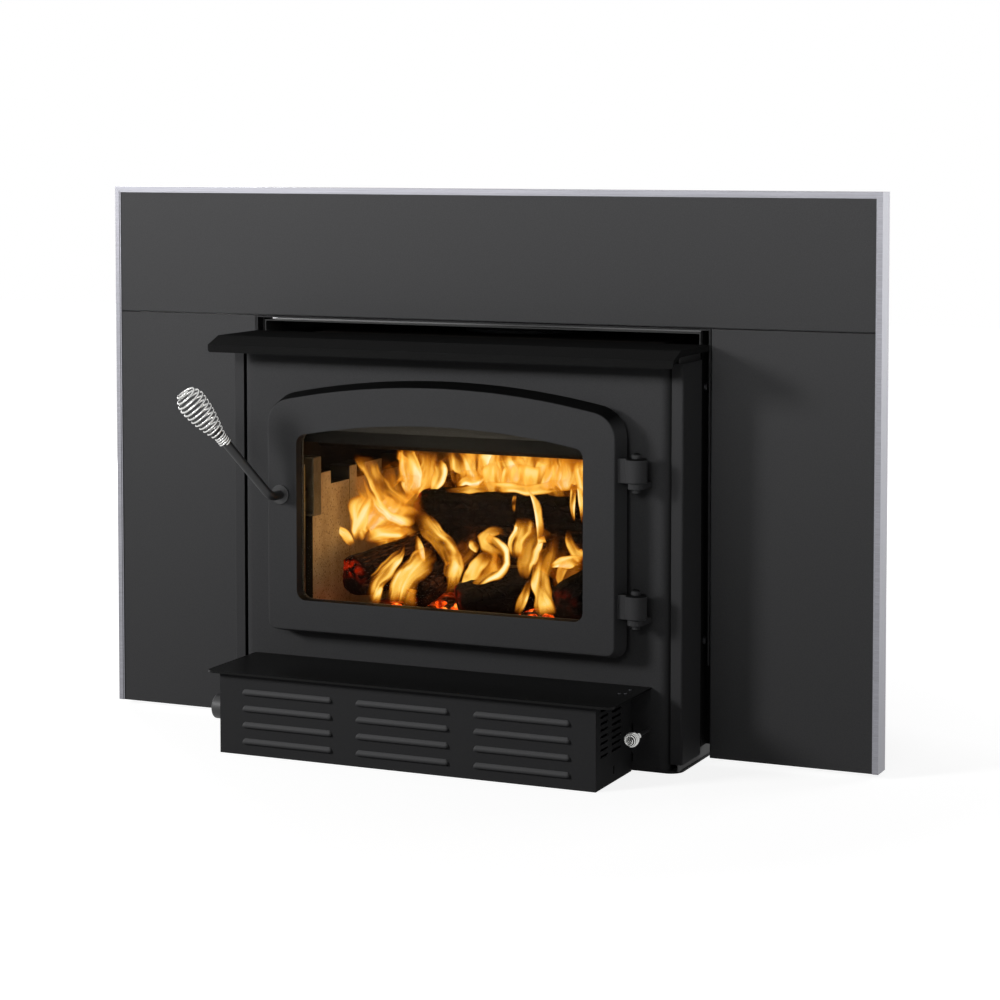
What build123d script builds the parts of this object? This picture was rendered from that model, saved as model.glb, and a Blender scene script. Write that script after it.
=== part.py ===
from build123d import *
import math
import os

# Wood-burning fireplace insert with a three-piece surround. Millimetres, +Z up.
# x runs to the right seen from the room, y runs into the wall.
# Origin: hearth floor (z = 0), face of the wall (y = 0), middle of the insert (x = 0).
os.makedirs("parts", exist_ok=True)

# Clearances
seat = 0.3  # between pieces that are bolted or laid on each other
run_fit = 0.05  # radial clearance of a shaft or pin in its bore
coil_play = 0.2  # between a spring grip's neck and its rod

# Surround
surround_width = 1118.0
surround_height = 734.0
surround_lift = 6.5
trim_depth = 31.8
trim_face = 8.3
trim_wall = 1.7
trim_step = 2.0
trim_back_lip = 14.0
panel_sheet = 1.5
panel_fold = 2.0  # outer radius of a fold
panel_hem = 26.0
panel_flange = 20.0
panel_lip = 18.0
opening_half = 333.5
seam_rise = 20.3  # seam above the hood
seam_gap = 0.8
strip_gap = 0.8  # between the panels and the bright strip
strip_sheet = 2.2
strip_depth = 20.0
strip_foot = 127.0

# Side angles that carry the surround, with two bolts each
angle_sheet = 2.5
angle_depth = 21.0
angle_foot = 20.0
bolt_level = 158.0
bolt_drop = 70.0  # upper bolts below the jacket top
bolt_head = 6.0
bolt_head_height = 4.0

# Welded body
front_reach = 112.2  # front plate face to the wall
plate_sheet = 8.0
plate_gap = 2.3  # between the plate's bent end and the cheek's flange
plate_bend = 12.0
plate_return = 16.0
base_sheet = 3.0
base_lap = 1.0
base_corner = 18.0
base_inset = 5.0
jacket_inset = 14.5  # jacket side inside the surround's opening
jacket_sheet = 1.5
jacket_depth = 385.0
jacket_taper_start = 200.0
jacket_lean = 34.0
jacket_rise = 15.2  # jacket top above the hood
jacket_mouth = 30.0  # front edge of the jacket top, ahead of the wall
cheek_inset = 9.1  # cheek inside the surround's opening
cheek_sheet = 1.5
cheek_fold = 3.0  # outer radius of a fold
cheek_flange = 15.6
cheek_step = 4.2  # flange behind the plate's face
cheek_foot = 12.5
cheek_lap = 2.0  # cheek top above the hood's lower edge
cheek_back = 37.0  # rear edge of the cheeks, ahead of the wall
shell_sheet = 5.0
chamber_margin = 11.0  # chamber wider than the door mouth
chamber_depth = 285.0
floor_height = 112.0
floor_sheet = 6.0
roof_sheet = 6.0
channel_half = 8.0
channel_inset = 77.5
channel_front = 20.0
mouth_lap = 7.0
mouth_foot = 12.8
mouth_head = 66.6
mouth_corner = 12.0
tab_slot = (3.2, 11.0)
tab_slot_levels = (18.0, 55.7)

# Hood
hood_height = 542.8
hood_sheet = 2.0
hood_inset = 2.0  # hood end inside the surround's opening
hood_back = 31.0
hood_bend = 24.8
hood_slope = 28.0
hood_drop = 10.8
hood_lip = 10.0
hood_side_drop = 8.0
hood_corner = 4.0

# Lining
brick_thick = 32.0
brick_joint = 1.0
floor_columns = 4
floor_rows = 3
side_bricks = 3
back_columns = 4
wall_drop = 40.0  # brick wall below the air tubes
notch_depth = 18.0
notch_places = (3.5, 66.5, 160.0)
notch_widths = (55.0, 25.0, 56.0)
brick_front = 78.0
tube_radius = 11.0
tube_wall = 1.6
tube_places = (10.0, 85.0, 160.0)
tube_drop = 26.0  # tube axes below the mouth's top
tube_hole = 3.0
tube_hole_count = 8
tube_hole_pitch = 46.0
board_thick = 22.0
board_front = 30.0
board_depth = 245.0
deflector_drop = 17.5
deflector_height = 26.0
deflector_slope = 34.0
deflector_sheet = 2.0

# Flue
flue_radius = 76.2
flue_wall = 3.0
flue_place = 165.0
flue_rise = 60.0
flue_flange = 14.0
flue_flange_sheet = 4.0
roof_hole_play = 3.0

# Door
door_gap = 12.8
door_thick = 26.0
door_side = 24.5  # hinge axis to the door's edge
door_bottom = 153.2
door_headroom = 37.4
door_arch = 1100.0
door_top_corner = 35.0
door_bottom_corner = 11.0
door_draft = 6.8
door_edge = 2.5
window_stile = 43.0
window_foot = 40.8
window_head = 50.4
window_arch = 1030.0
window_corner = 13.0
glass_set_back = 15.0
glass_thick = 5.0
glass_lap = 8.0
glass_play = 1.0
retainer_sheet = 2.5
retainer_width = 12.0
retainer_lap = 6.0
retainer_play = 12.0
retainer_crown_drop = 70.0
retainer_crown_lap = 4.0
retainer_screw_radius = 3.4
retainer_screw_height = 3.0
retainer_screw_edge = 4.0
retainer_screw_spread = 70.0
rope_inset = 9.3
rope_width = 9.0
rope_groove = 6.0
seat_rim_width = 5.0
seat_rim_height = 7.0

# Hinges
hinge_inset = 33.5  # hinge axis inside the front plate's end
hinge_set_back = 13.0
knuckle_radius = 13.8
knuckle_length = 31.0
knuckle_chamfer = 1.4
knuckle_foot = 47.8
knuckle_drop = 110.6
arm_half = 6.5
arm_root = 13.0
bracket_width = 21.5
bracket_sheet = 7.0
hinge_pin_radius = 5.0
pin_head_radius = 6.2
pin_head_rise = 7.2
pin_head_round = 5.0
pin_tail = 5.0

# Handle and latch
handle_inset = 19.5
handle_drop = 150.6  # below the door's crown
rod_radius = 6.0
rod_reach = 27.0
rod_bend_radius = 17.0
grip_reach = (-79.0, -89.0, 144.0)  # from the rod's bend to the tip of the grip
rod_inside_grip = 24.0
grip_length = 90.0
grip_wire = 2.7
grip_neck_turns = 4
grip_swell_turns = 9
grip_close_turns = 3
grip_neck_pitch = 3.25
grip_belly_radius = 18.6
grip_belly_place = 0.8
grip_mouth_radius = 9.6
washer_radius = 13.0
washer_thick = 2.8
washer_round = 0.8
sleeve_wall = 2.0
cam_hub_radius = 8.5
cam_thick = 5.9
cam_half_width = 5.0
cam_reach = 21.0
cam_nut_height = 5.7
cam_nut_flats = 16.0
rod_tail = 1.0
guard_width = 48.5
guard_depth = 21.0
guard_below = 34.0
guard_above = 45.0
guard_sheet = 2.0

# Ash lip and blower
lip_left_inset = 16.5
lip_right_inset = 22.5
lip_overhang = 13.15
lip_sheet = 2.9
lip_corner = 12.0
lip_screw_places = ((-21.5, -55.3), (-14.5, -52.3), (-17.0, -29.8))  # from right end and plate
lip_screw_radius = 2.6
lip_screw_height = 1.6
lip_screw_round = 0.6
blower_left_inset = 31.3
blower_right_gap = 24.0  # housing end to the air control rod
blower_depth = 122.65
blower_height = 107.5
blower_sheet = 1.5
louvre_columns = 3
louvre_rows = 4
louvre_margin = 33.7
louvre_space = 33.9
louvre_foot = 15.5
louvre_pitch = 21.65
louvre_height = 6.6
louvre_depth = 4.2
louvre_skin = 1.2
side_slot_columns = ((28.85, 26.0), (69.85, 32.0))  # place behind the front, length
side_slot_drop = 67.5
side_slot_pitch = 8.3
side_slot_rows = 8
side_slot_height = 3.6
cord_slot_place = (60.85, 15.0)
cord_slot = (4.0, 11.0)
fan_set_back = 62.85
fan_tip_gap = 6.0
fan_width = 74.0
fan_blades = 24
fan_blade_depth = 8.0
fan_blade_sheet = 1.2
fan_blade_lean = 35.0
fan_disc = 2.0
fan_side_play = 4.0
scroll_sheet = 1.5
scroll_growth = 3.0
scroll_below = 5.0
scroll_above = 3.5
scroll_rim = 7.0
scroll_lip = 12.0
fan_centres = (-115.0, 97.0)
motor_set_in = 3.0
motor_left = -52.0
motor_right = 34.0
motor_foot_half = 20.0
motor_step = 8.0
shaft_radius = 4.0

# Speed control
knob_set_back = 21.85
knob_z = 56.0
knob_radius = 16.2
knob_length = 17.7
knob_round = 3.0
knob_shaft_radius = 3.0
knob_shaft_length = 16.0
control_size = 26.0
control_corner = 3.0
control_length = 24.0

# Air control
air_inset = 25.0
air_z = 56.0
air_rod_radius = 2.4
air_rod_back = 24.0
air_rod_inside_grip = 18.0
air_travel = 30.0
air_grip_reach = 39.8
air_grip_length = 31.0
air_wire = 1.6
air_neck_turns = 3
air_swell_turns = 6
air_close_turns = 3
air_neck_pitch = 2.1
air_belly_radius = 8.7
air_belly_place = 0.77
air_mouth_radius = 4.4
air_box_left = 72.0
air_box_right = 16.5
air_box_back = 62.0
air_box_bottom = 62.0
air_box_sheet = 3.0
air_port_front = -6.0
air_port_length = 34.0
air_port_half = 8.0
air_feed_depth = 14.0
air_feed_half = 12.0
damper_sheet = 2.5
damper_half = 11.5
damper_tab = 12.0
damper_lap = 6.0

# Widths that follow from the surround's opening
outer_half = surround_width / 2
panel_half = outer_half - trim_wall - seat
hood_half = opening_half - hood_inset
cheek_half = opening_half - cheek_inset
flange_half = cheek_half - cheek_flange
plate_half = flange_half - plate_gap
jacket_half = opening_half - jacket_inset
jacket_rear_half = jacket_half - jacket_lean
base_half = jacket_half + base_lap
hinge_x = plate_half - hinge_inset
door_half = hinge_x - door_side
window_half = door_half - window_stile
handle_x = handle_inset - door_half
mouth_half = door_half - mouth_lap
chamber_half = mouth_half + chamber_margin
shell_half = chamber_half + shell_sheet
wall_outer = chamber_half - seat
wall_inner = wall_outer - brick_thick
air_x = plate_half - air_inset
air_feed_x = chamber_half - shell_sheet - air_feed_half
blower_left = blower_left_inset - plate_half
blower_right = air_x - blower_right_gap
lip_left = lip_left_inset - plate_half
lip_right = plate_half - lip_right_inset

# Depths that follow from the front plate and the wall
panel_y = -(trim_depth - trim_wall - seat)
lip_y = panel_y + panel_flange
plate_y = -front_reach
plate_back = plate_y + plate_sheet
cheek_y = plate_y + cheek_step
jacket_front = cheek_y + cheek_sheet + seat
shell_back = chamber_depth + shell_sheet
hood_bend_y = plate_y - hood_bend
hood_front_y = hood_bend_y - hood_slope
door_back = plate_y - door_gap
door_face = door_back - door_thick
hinge_y = door_face + hinge_set_back
glass_face = door_face + glass_set_back
glass_back = glass_face + glass_thick
blower_y = plate_y - blower_depth
fan_y = blower_y + fan_set_back
knob_y = blower_y + knob_set_back
air_feed_y = -(front_reach - plate_sheet + brick_front) / 2

# Heights that follow from the hood, the door and the blower
surround_top = surround_lift + surround_height
seam_height = hood_height + seam_rise
jacket_top_height = hood_height + jacket_rise
jacket_wall_top = jacket_top_height - jacket_sheet
hood_lip_top = hood_height - hood_drop
hood_lip_bottom = hood_lip_top - hood_lip
roof_top = hood_height - hood_sheet
roof_bottom = roof_top - roof_sheet
door_crown = hood_lip_bottom - door_headroom
window_crown = door_crown - window_head
window_bottom = door_bottom + window_foot
mouth_top = door_crown - mouth_head
mouth_bottom = door_bottom + mouth_foot
handle_z = door_crown - handle_drop
knuckle_bottoms = (door_bottom + knuckle_foot, door_crown - knuckle_drop)
chamber_floor = floor_height + floor_sheet
lining_floor = chamber_floor + seat + brick_thick
tube_height = mouth_top - tube_drop
side_wall_top = tube_height - wall_drop
deflector_bottom = mouth_top - deflector_drop
scroll_room = blower_height - 2 * blower_sheet - scroll_below - scroll_above
scroll_start = (scroll_room - 3 * scroll_growth - 2 * scroll_sheet) / 2
fan_z = blower_sheet + scroll_below + scroll_sheet + scroll_start
fan_radius = scroll_start - fan_tip_gap
side_slot_bottom = blower_height - side_slot_drop


def block(x0, x1, y0, y1, mode=Mode.ADD):
    """A rectangle from corner to corner in the current sketch."""
    with Locations(((x0 + x1) / 2, (y0 + y1) / 2)):
        Rectangle(abs(x1 - x0), abs(y1 - y0), mode=mode)


def folded(sheet, radius, *corners):
    """Section of a folded sheet: the corners are its outer face, the sheet lies to their left."""
    with BuildSketch() as band:
        with BuildLine():
            FilletPolyline(*corners, radius=radius)
            offset(amount=sheet, side=Side.LEFT)
        make_face()
    return band.sketch


def at_y(y):
    """An upright plane facing the room: local x is x, local y is z, and it extrudes to the room."""
    return Plane.XZ.offset(-y)


def save(piece, label):
    piece.part.label = label
    export_step(piece.part, f"parts/{label}.step")


def arched(half, bottom, crown, arch, top_corner, bottom_corner):
    """A door outline: straight foot and sides under one shallow arch, with rounded corners."""
    shoulder = crown - arch + math.sqrt(arch**2 - half**2)
    with BuildSketch() as outline:
        with BuildLine():
            Polyline((-half, shoulder), (-half, bottom), (half, bottom), (half, shoulder))
            ThreePointArc((half, shoulder), (0, crown), (-half, shoulder))
        make_face()
        fillet(outline.vertices().group_by(Axis.Y)[-1], top_corner)
        fillet(outline.vertices().group_by(Axis.Y)[0], bottom_corner)
    return outline.sketch


# ---------------------------------------------------------------------------
# Surround: three folded steel panels in a bright aluminium edge trim
# ---------------------------------------------------------------------------
def trim_section():
    """Section of the edge trim: local x runs inward from the edge, local y runs to the room."""
    block(0, trim_wall, 0, trim_depth)
    block(0, trim_face - trim_step, trim_depth - trim_wall, trim_depth)
    block(trim_face - trim_step, trim_face, trim_depth - trim_wall, trim_depth - trim_wall / 2)
    block(0, trim_back_lip, 0, trim_wall)


mitre_left = Plane(origin=(-outer_half, 0, surround_top), z_dir=(1, 0, 1))
mitre_right = Plane(origin=(outer_half, 0, surround_top), z_dir=(-1, 0, 1))
left_rail = Plane(origin=(-outer_half, 0, surround_top), x_dir=(1, 0, 0), z_dir=(0, 0, -1))
right_rail = Plane(origin=(outer_half, 0, surround_lift), x_dir=(-1, 0, 0), z_dir=(0, 0, 1))
top_rail = Plane(origin=(outer_half, 0, surround_top), x_dir=(0, 0, -1), z_dir=(-1, 0, 0))

with BuildPart() as trim_left:
    with BuildSketch(left_rail):
        trim_section()
    extrude(amount=surround_height)
    split(bisect_by=mitre_left, keep=Keep.BOTTOM)
save(trim_left, "trim_left")

with BuildPart() as trim_right:
    with BuildSketch(right_rail):
        trim_section()
    extrude(amount=surround_height)
    split(bisect_by=mitre_right, keep=Keep.BOTTOM)
save(trim_right, "trim_right")

with BuildPart() as trim_top:
    with BuildSketch(top_rail):
        trim_section()
    extrude(amount=surround_width)
    split(bisect_by=mitre_left, keep=Keep.TOP)
    split(bisect_by=mitre_right, keep=Keep.TOP)
save(trim_top, "trim_top")

# A side panel: face, hem inside the trim, a flange with a lip at the opening, and a flange
# under the seam.
with BuildPart() as faceplate_right:
    with BuildSketch(Plane.XY.offset(surround_lift)):
        add(folded(panel_sheet, panel_fold,
                   (opening_half + panel_lip, lip_y), (opening_half, lip_y),
                   (opening_half, panel_y), (panel_half, panel_y),
                   (panel_half, panel_y + panel_hem)))
    extrude(amount=seam_height - surround_lift)
    with BuildSketch(Plane.XY.offset(seam_height - panel_sheet)):
        block(opening_half + panel_sheet, panel_half - panel_sheet,
              panel_y + panel_sheet, lip_y - panel_sheet)
    extrude(amount=panel_sheet)
save(faceplate_right, "faceplate_right")

with BuildPart() as faceplate_left:
    mirror(faceplate_right.part, about=Plane.YZ)
save(faceplate_left, "faceplate_left")

top_panel_foot = seam_height + seam_gap
top_panel_head = surround_top - trim_wall - seat
with BuildPart() as faceplate_top:
    with BuildSketch(Plane.YZ.offset(-panel_half)):
        add(folded(panel_sheet, panel_fold,
                   (panel_y + panel_hem, top_panel_head), (panel_y, top_panel_head),
                   (panel_y, top_panel_foot), (lip_y, top_panel_foot)))
    extrude(amount=2 * panel_half)
save(faceplate_top, "faceplate_top")

# Bright inner strip round the opening: an inverted U of folded sheet.
strip_half = opening_half - strip_gap
strip_inner = strip_half - strip_sheet
strip_under = seam_height - strip_sheet
with BuildPart() as opening_frame:
    with BuildSketch(at_y(panel_y + strip_depth)):
        block(-strip_half, strip_half, strip_foot, seam_height)
        block(-strip_inner, strip_inner, strip_foot, strip_under, mode=Mode.SUBTRACT)
    extrude(amount=strip_depth)
save(opening_frame, "opening_frame")

# Two angles along the sides of the jacket, behind the panels' lips, hold the surround.
angle_inner = jacket_half + seat
angle_outer = opening_half + panel_lip
angle_y = lip_y + seat
angle_top = strip_under - seat
with BuildPart() as faceplate_brackets:
    with BuildSketch(Plane.XY.offset(angle_foot)):
        for side in (-1, 1):
            block(side * angle_inner, side * (angle_inner + angle_sheet),
                  angle_y - angle_depth, angle_y + angle_sheet)
            block(side * angle_inner, side * angle_outer, angle_y, angle_y + angle_sheet)
    extrude(amount=angle_top - angle_foot)
save(faceplate_brackets, "faceplate_brackets")

with BuildPart() as faceplate_screws:
    for side in (-1, 1):
        for level in (bolt_level, jacket_top_height - bolt_drop):
            head_x = side * (angle_inner + angle_sheet + seat)
            bolt_y = angle_y - angle_depth / 2
            with BuildSketch(Plane(origin=(head_x, bolt_y, level), z_dir=(side, 0, 0))):
                RegularPolygon(bolt_head, 6)
            extrude(amount=bolt_head_height)
save(faceplate_screws, "faceplate_screws")

# ---------------------------------------------------------------------------
# Welded body: base, front plate, cheeks, jacket and firebox shell
# ---------------------------------------------------------------------------
with BuildPart() as base_plate:
    with BuildSketch(Plane.XY):
        front_edge = plate_y + base_inset
        with BuildLine():
            Polyline((-base_half, front_edge), (base_half, front_edge),
                     (base_half, jacket_taper_start), (jacket_rear_half, jacket_depth),
                     (-jacket_rear_half, jacket_depth), (-base_half, jacket_taper_start),
                     (-base_half, front_edge))
        make_face()
        fillet(vertices().group_by(Axis.Y)[0], base_corner)
    extrude(amount=base_sheet)
save(base_plate, "base_plate")

# The front plate is bent back at both ends. It has the door mouth, the two blower ports,
# the slots of the housing's tabs and the hole of the air control rod.
scroll_half = fan_width / 2 + fan_side_play
port_bottom = fan_z + scroll_lip
port_top = fan_z + scroll_start + 3 * scroll_growth
air_hole = air_rod_radius + seat
plate_end = plate_back + plate_return
with BuildPart() as front_plate:
    with BuildSketch(Plane.XY.offset(base_sheet)):
        add(folded(plate_sheet, plate_bend,
                   (-plate_half, plate_end), (-plate_half, plate_y), (plate_half, plate_y),
                   (plate_half, plate_end)))
    extrude(amount=roof_top - base_sheet)
    with BuildSketch(at_y(plate_back)):
        block(-mouth_half, mouth_half, mouth_bottom, mouth_top)
        fillet(vertices(), mouth_corner)
        for centre in fan_centres:
            block(centre - scroll_half, centre + scroll_half, port_bottom, port_top)
        with Locations(*[(blower_right + seat, level) for level in tab_slot_levels]):
            Rectangle(*tab_slot)
        with Locations((air_x, air_z)):
            Circle(air_hole)
    extrude(amount=plate_sheet, mode=Mode.SUBTRACT)
save(front_plate, "front_plate")

# Folded cheek that closes the side between the front plate and the jacket.
with BuildPart() as cheek_right:
    with BuildSketch(Plane.XY.offset(cheek_foot)):
        add(folded(cheek_sheet, cheek_fold,
                   (flange_half, cheek_y), (cheek_half, cheek_y), (cheek_half, -cheek_back),
                   (jacket_half + seat, -cheek_back)))
    extrude(amount=hood_lip_bottom + cheek_lap - cheek_foot)
save(cheek_right, "cheek_right")

with BuildPart() as cheek_left:
    mirror(cheek_right.part, about=Plane.YZ)
save(cheek_left, "cheek_left")

# Jacket side: it steps up behind the hood and leans in towards the back.
jacket_under_hood = roof_top - seat
with BuildPart() as jacket_right:
    with BuildSketch(Plane.XY.offset(base_sheet)):
        with BuildLine():
            Polyline((jacket_half, jacket_front), (jacket_half, jacket_taper_start),
                     (jacket_rear_half, jacket_depth))
            offset(amount=jacket_sheet, side=Side.LEFT)
        make_face()
    extrude(amount=jacket_wall_top - base_sheet)
    with BuildSketch(Plane.YZ.offset(jacket_rear_half)):
        block(jacket_front, -jacket_mouth, jacket_under_hood, jacket_top_height)
    extrude(amount=jacket_half, mode=Mode.SUBTRACT)
save(jacket_right, "jacket_right")

with BuildPart() as jacket_left:
    mirror(jacket_right.part, about=Plane.YZ)
save(jacket_left, "jacket_left")

with BuildPart() as jacket_back:
    with BuildSketch(at_y(jacket_depth)):
        rear_inner = jacket_rear_half - jacket_sheet - seat
        block(-rear_inner, rear_inner, base_sheet, jacket_wall_top)
    extrude(amount=jacket_sheet)
save(jacket_back, "jacket_back")

flue_outer = flue_radius + flue_wall
with BuildPart() as jacket_top:
    with BuildSketch(Plane.XY.offset(jacket_wall_top)):
        with BuildLine():
            Polyline((-jacket_half, -jacket_mouth), (jacket_half, -jacket_mouth),
                     (jacket_half, jacket_taper_start), (jacket_rear_half, jacket_depth),
                     (-jacket_rear_half, jacket_depth), (-jacket_half, jacket_taper_start),
                     (-jacket_half, -jacket_mouth))
        make_face()
        with Locations((0, flue_place)):
            Circle(flue_outer + seat, mode=Mode.SUBTRACT)
    extrude(amount=jacket_sheet)
save(jacket_top, "jacket_top")

# Firebox floor on two channels that stand on the base plate.
channel_place = shell_half - channel_inset
with BuildPart() as firebox_floor:
    with BuildSketch(Plane.XY.offset(floor_height)):
        block(-shell_half, shell_half, plate_back, shell_back)
        with Locations((air_feed_x, air_feed_y)):
            Rectangle(2 * air_feed_half, air_feed_depth, mode=Mode.SUBTRACT)
    extrude(amount=floor_sheet)
    with BuildSketch(Plane.XY.offset(base_sheet)):
        for side in (-1, 1):
            with Locations((side * channel_place, (shell_back - channel_front) / 2)):
                Rectangle(2 * channel_half, shell_back + channel_front)
                with Locations((side * -shell_sheet, 0)):
                    Rectangle(2 * channel_half, shell_back + channel_front - 2 * shell_sheet,
                              mode=Mode.SUBTRACT)
    extrude(amount=floor_height - base_sheet)
save(firebox_floor, "firebox_floor")

with BuildPart() as firebox_right:
    with BuildSketch(Plane.XY.offset(chamber_floor)):
        block(chamber_half, shell_half, plate_back, shell_back)
    extrude(amount=roof_bottom - chamber_floor)
save(firebox_right, "firebox_right")

with BuildPart() as firebox_left:
    mirror(firebox_right.part, about=Plane.YZ)
save(firebox_left, "firebox_left")

with BuildPart() as firebox_back:
    with BuildSketch(at_y(shell_back)):
        block(-chamber_half, chamber_half, chamber_floor, roof_bottom)
    extrude(amount=shell_sheet)
save(firebox_back, "firebox_back")

with BuildPart() as firebox_top:
    with BuildSketch(Plane.XY.offset(roof_bottom)):
        block(-shell_half, shell_half, plate_back, shell_back)
        with Locations((0, flue_place)):
            Circle(flue_radius + roof_hole_play, mode=Mode.SUBTRACT)
    extrude(amount=roof_sheet)
save(firebox_top, "firebox_top")

with BuildPart() as flue_collar:
    with BuildSketch(Plane.XY.offset(roof_top)):
        with Locations((0, flue_place)):
            Circle(flue_outer)
            Circle(flue_radius, mode=Mode.SUBTRACT)
    extrude(amount=flue_rise)
    with BuildSketch(Plane.XY.offset(roof_top)):
        with Locations((0, flue_place)):
            Circle(flue_outer + flue_flange)
            Circle(flue_radius, mode=Mode.SUBTRACT)
    extrude(amount=flue_flange_sheet)
save(flue_collar, "flue_collar")

# Hood: a folded shelf over the door with a sloping front, a lip and short ends.
with BuildPart() as hot_air_hood:
    with BuildSketch(Plane.YZ.offset(-hood_half)):
        Polygon((-hood_back, hood_height), (hood_bend_y, hood_height),
                (hood_front_y, hood_lip_top), (hood_front_y, hood_lip_bottom),
                (-hood_back, hood_lip_bottom), align=None)
    extrude(amount=2 * hood_half)
    with BuildSketch(Plane.YZ.offset(-hood_half)):
        with BuildLine():
            Polyline((hood_slope - hood_back, hood_height), (hood_bend_y, hood_height),
                     (hood_front_y, hood_lip_top), (hood_front_y, hood_lip_bottom - hood_slope),
                     (hood_slope - hood_back, hood_lip_bottom - hood_slope),
                     (hood_slope - hood_back, hood_height))
        make_face()
        offset(amount=-hood_sheet, mode=Mode.REPLACE)
    extrude(amount=2 * hood_half, mode=Mode.SUBTRACT)
    with BuildSketch(Plane.YZ.offset(-hood_half), Plane.YZ.offset(hood_half - hood_sheet)):
        Polygon((-hood_back, hood_height), (hood_bend_y, hood_height),
                (hood_front_y, hood_lip_top), (hood_front_y, hood_lip_bottom + hood_side_drop / 2),
                (hood_bend_y, hood_height - hood_side_drop),
                (-hood_back, hood_height - hood_side_drop), align=None)
    extrude(amount=hood_sheet)
    lip_ends = edges().filter_by(Axis.Y).group_by(Axis.Z)[0]
    fillet(lip_ends, hood_corner)
save(hot_air_hood, "hot_air_hood")

# ---------------------------------------------------------------------------
# Lining: firebricks, air tubes, baffle board and air wash
# ---------------------------------------------------------------------------
floor_width = 2 * chamber_half - 2 * seat
floor_front = -brick_front
floor_length = chamber_depth - seat + brick_front
column_width = floor_width / floor_columns
row_length = floor_length / floor_rows
with BuildPart() as floor_bricks:
    with BuildSketch(Plane.XY.offset(chamber_floor + seat)):
        with Locations((0, floor_front + floor_length / 2)):
            with GridLocations(column_width, row_length, floor_columns, floor_rows):
                Rectangle(column_width - brick_joint, row_length - brick_joint)
    extrude(amount=brick_thick)
save(floor_bricks, "floor_bricks")

wall_foot = lining_floor + seat
wall_back = chamber_depth - seat - brick_thick - seat
side_brick_length = (wall_back + brick_front) / side_bricks
with BuildPart() as side_bricks_right:
    with BuildSketch(Plane.YZ.offset(wall_inner)):
        with Locations(((wall_back - brick_front) / 2, (wall_foot + side_wall_top) / 2)):
            with GridLocations(side_brick_length, 1, side_bricks, 1):
                Rectangle(side_brick_length - brick_joint, side_wall_top - wall_foot)
        for place, width in zip(notch_places, notch_widths):
            block(place - width / 2, place + width / 2, side_wall_top - notch_depth,
                  side_wall_top, mode=Mode.SUBTRACT)
    extrude(amount=brick_thick)
save(side_bricks_right, "side_bricks_right")

with BuildPart() as side_bricks_left:
    mirror(side_bricks_right.part, about=Plane.YZ)
save(side_bricks_left, "side_bricks_left")

back_width = 2 * wall_outer / back_columns
with BuildPart() as back_bricks:
    with BuildSketch(at_y(chamber_depth - seat)):
        with Locations((0, (wall_foot + side_wall_top) / 2)):
            with GridLocations(back_width, 1, back_columns, 1):
                Rectangle(back_width - brick_joint, side_wall_top - wall_foot)
    extrude(amount=brick_thick)
save(back_bricks, "back_bricks")

# Secondary air tubes: drilled towards the door, set between the side plates.
with BuildPart() as air_tubes:
    for place in tube_places:
        with BuildSketch(Plane(origin=(-chamber_half, place, tube_height), z_dir=(1, 0, 0))):
            Circle(tube_radius)
            Circle(tube_radius - tube_wall, mode=Mode.SUBTRACT)
        extrude(amount=2 * chamber_half)
        drill_span = (tube_hole_count - 1) * tube_hole_pitch
        with BuildSketch(Plane(origin=(-drill_span / 2, place, tube_height), z_dir=(0, -1, 0))):
            with Locations([(i * tube_hole_pitch, 0) for i in range(tube_hole_count)]):
                Circle(tube_hole)
        extrude(amount=tube_radius + tube_wall, mode=Mode.SUBTRACT)
save(air_tubes, "air_tubes")

board_bottom = tube_height + tube_radius + seat
with BuildPart() as baffle_board:
    with BuildSketch(Plane.XY.offset(board_bottom)):
        half = chamber_half - seat
        for side in (-1, 1):
            block(side * brick_joint / 2, side * half, -board_front, board_depth)
    extrude(amount=board_thick)
save(baffle_board, "baffle_board")

deflector_y = plate_back + seat
with BuildPart() as air_wash_deflector:
    with BuildSketch(Plane.YZ.offset(-mouth_half)):
        top_z = deflector_bottom + deflector_height
        with BuildLine():
            Polyline((deflector_y, top_z), (deflector_y, deflector_bottom),
                     (deflector_y + deflector_sheet, deflector_bottom),
                     (deflector_y + deflector_sheet, top_z - deflector_sheet),
                     (deflector_y + deflector_slope, top_z + deflector_sheet),
                     (deflector_y + deflector_slope, top_z + 2 * deflector_sheet),
                     (deflector_y, top_z))
        make_face()
    extrude(amount=2 * mouth_half)
save(air_wash_deflector, "air_wash_deflector")

# Pocket that keeps the latch clear of the fire, welded behind the front plate.
guard_y = plate_back + guard_depth
guard_inner = chamber_half - guard_width
guard_bottom = handle_z - guard_below
guard_top = handle_z + guard_above
with BuildPart() as latch_guard:
    with BuildSketch(at_y(guard_y)):
        block(-wall_outer, -guard_inner, guard_bottom, guard_top)
    extrude(amount=guard_depth)
    with BuildSketch(at_y(guard_y - guard_sheet)):
        block(-wall_outer, -guard_inner - guard_sheet,
              guard_bottom + guard_sheet, guard_top - guard_sheet)
    extrude(amount=guard_depth, mode=Mode.SUBTRACT)
save(latch_guard, "latch_guard")

# ---------------------------------------------------------------------------
# Door
# ---------------------------------------------------------------------------
back_half = door_half + door_draft
back_outline = (back_half, door_bottom - door_draft, door_crown + door_draft,
                door_arch + door_draft, door_top_corner + door_draft,
                door_bottom_corner + door_draft)


def door_ring(inset, width):
    """A closed band that follows the back outline of the door."""
    with BuildSketch() as band:
        add(arched(*back_outline))
        offset(amount=-inset, mode=Mode.REPLACE)
        offset(amount=-width, mode=Mode.SUBTRACT)
    return band.sketch


with BuildPart() as door_seat:
    with BuildSketch(at_y(plate_y)):
        add(door_ring(rope_inset - seat_rim_width / 2, seat_rim_width))
    extrude(amount=seat_rim_height)
save(door_seat, "door_seat")

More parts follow.
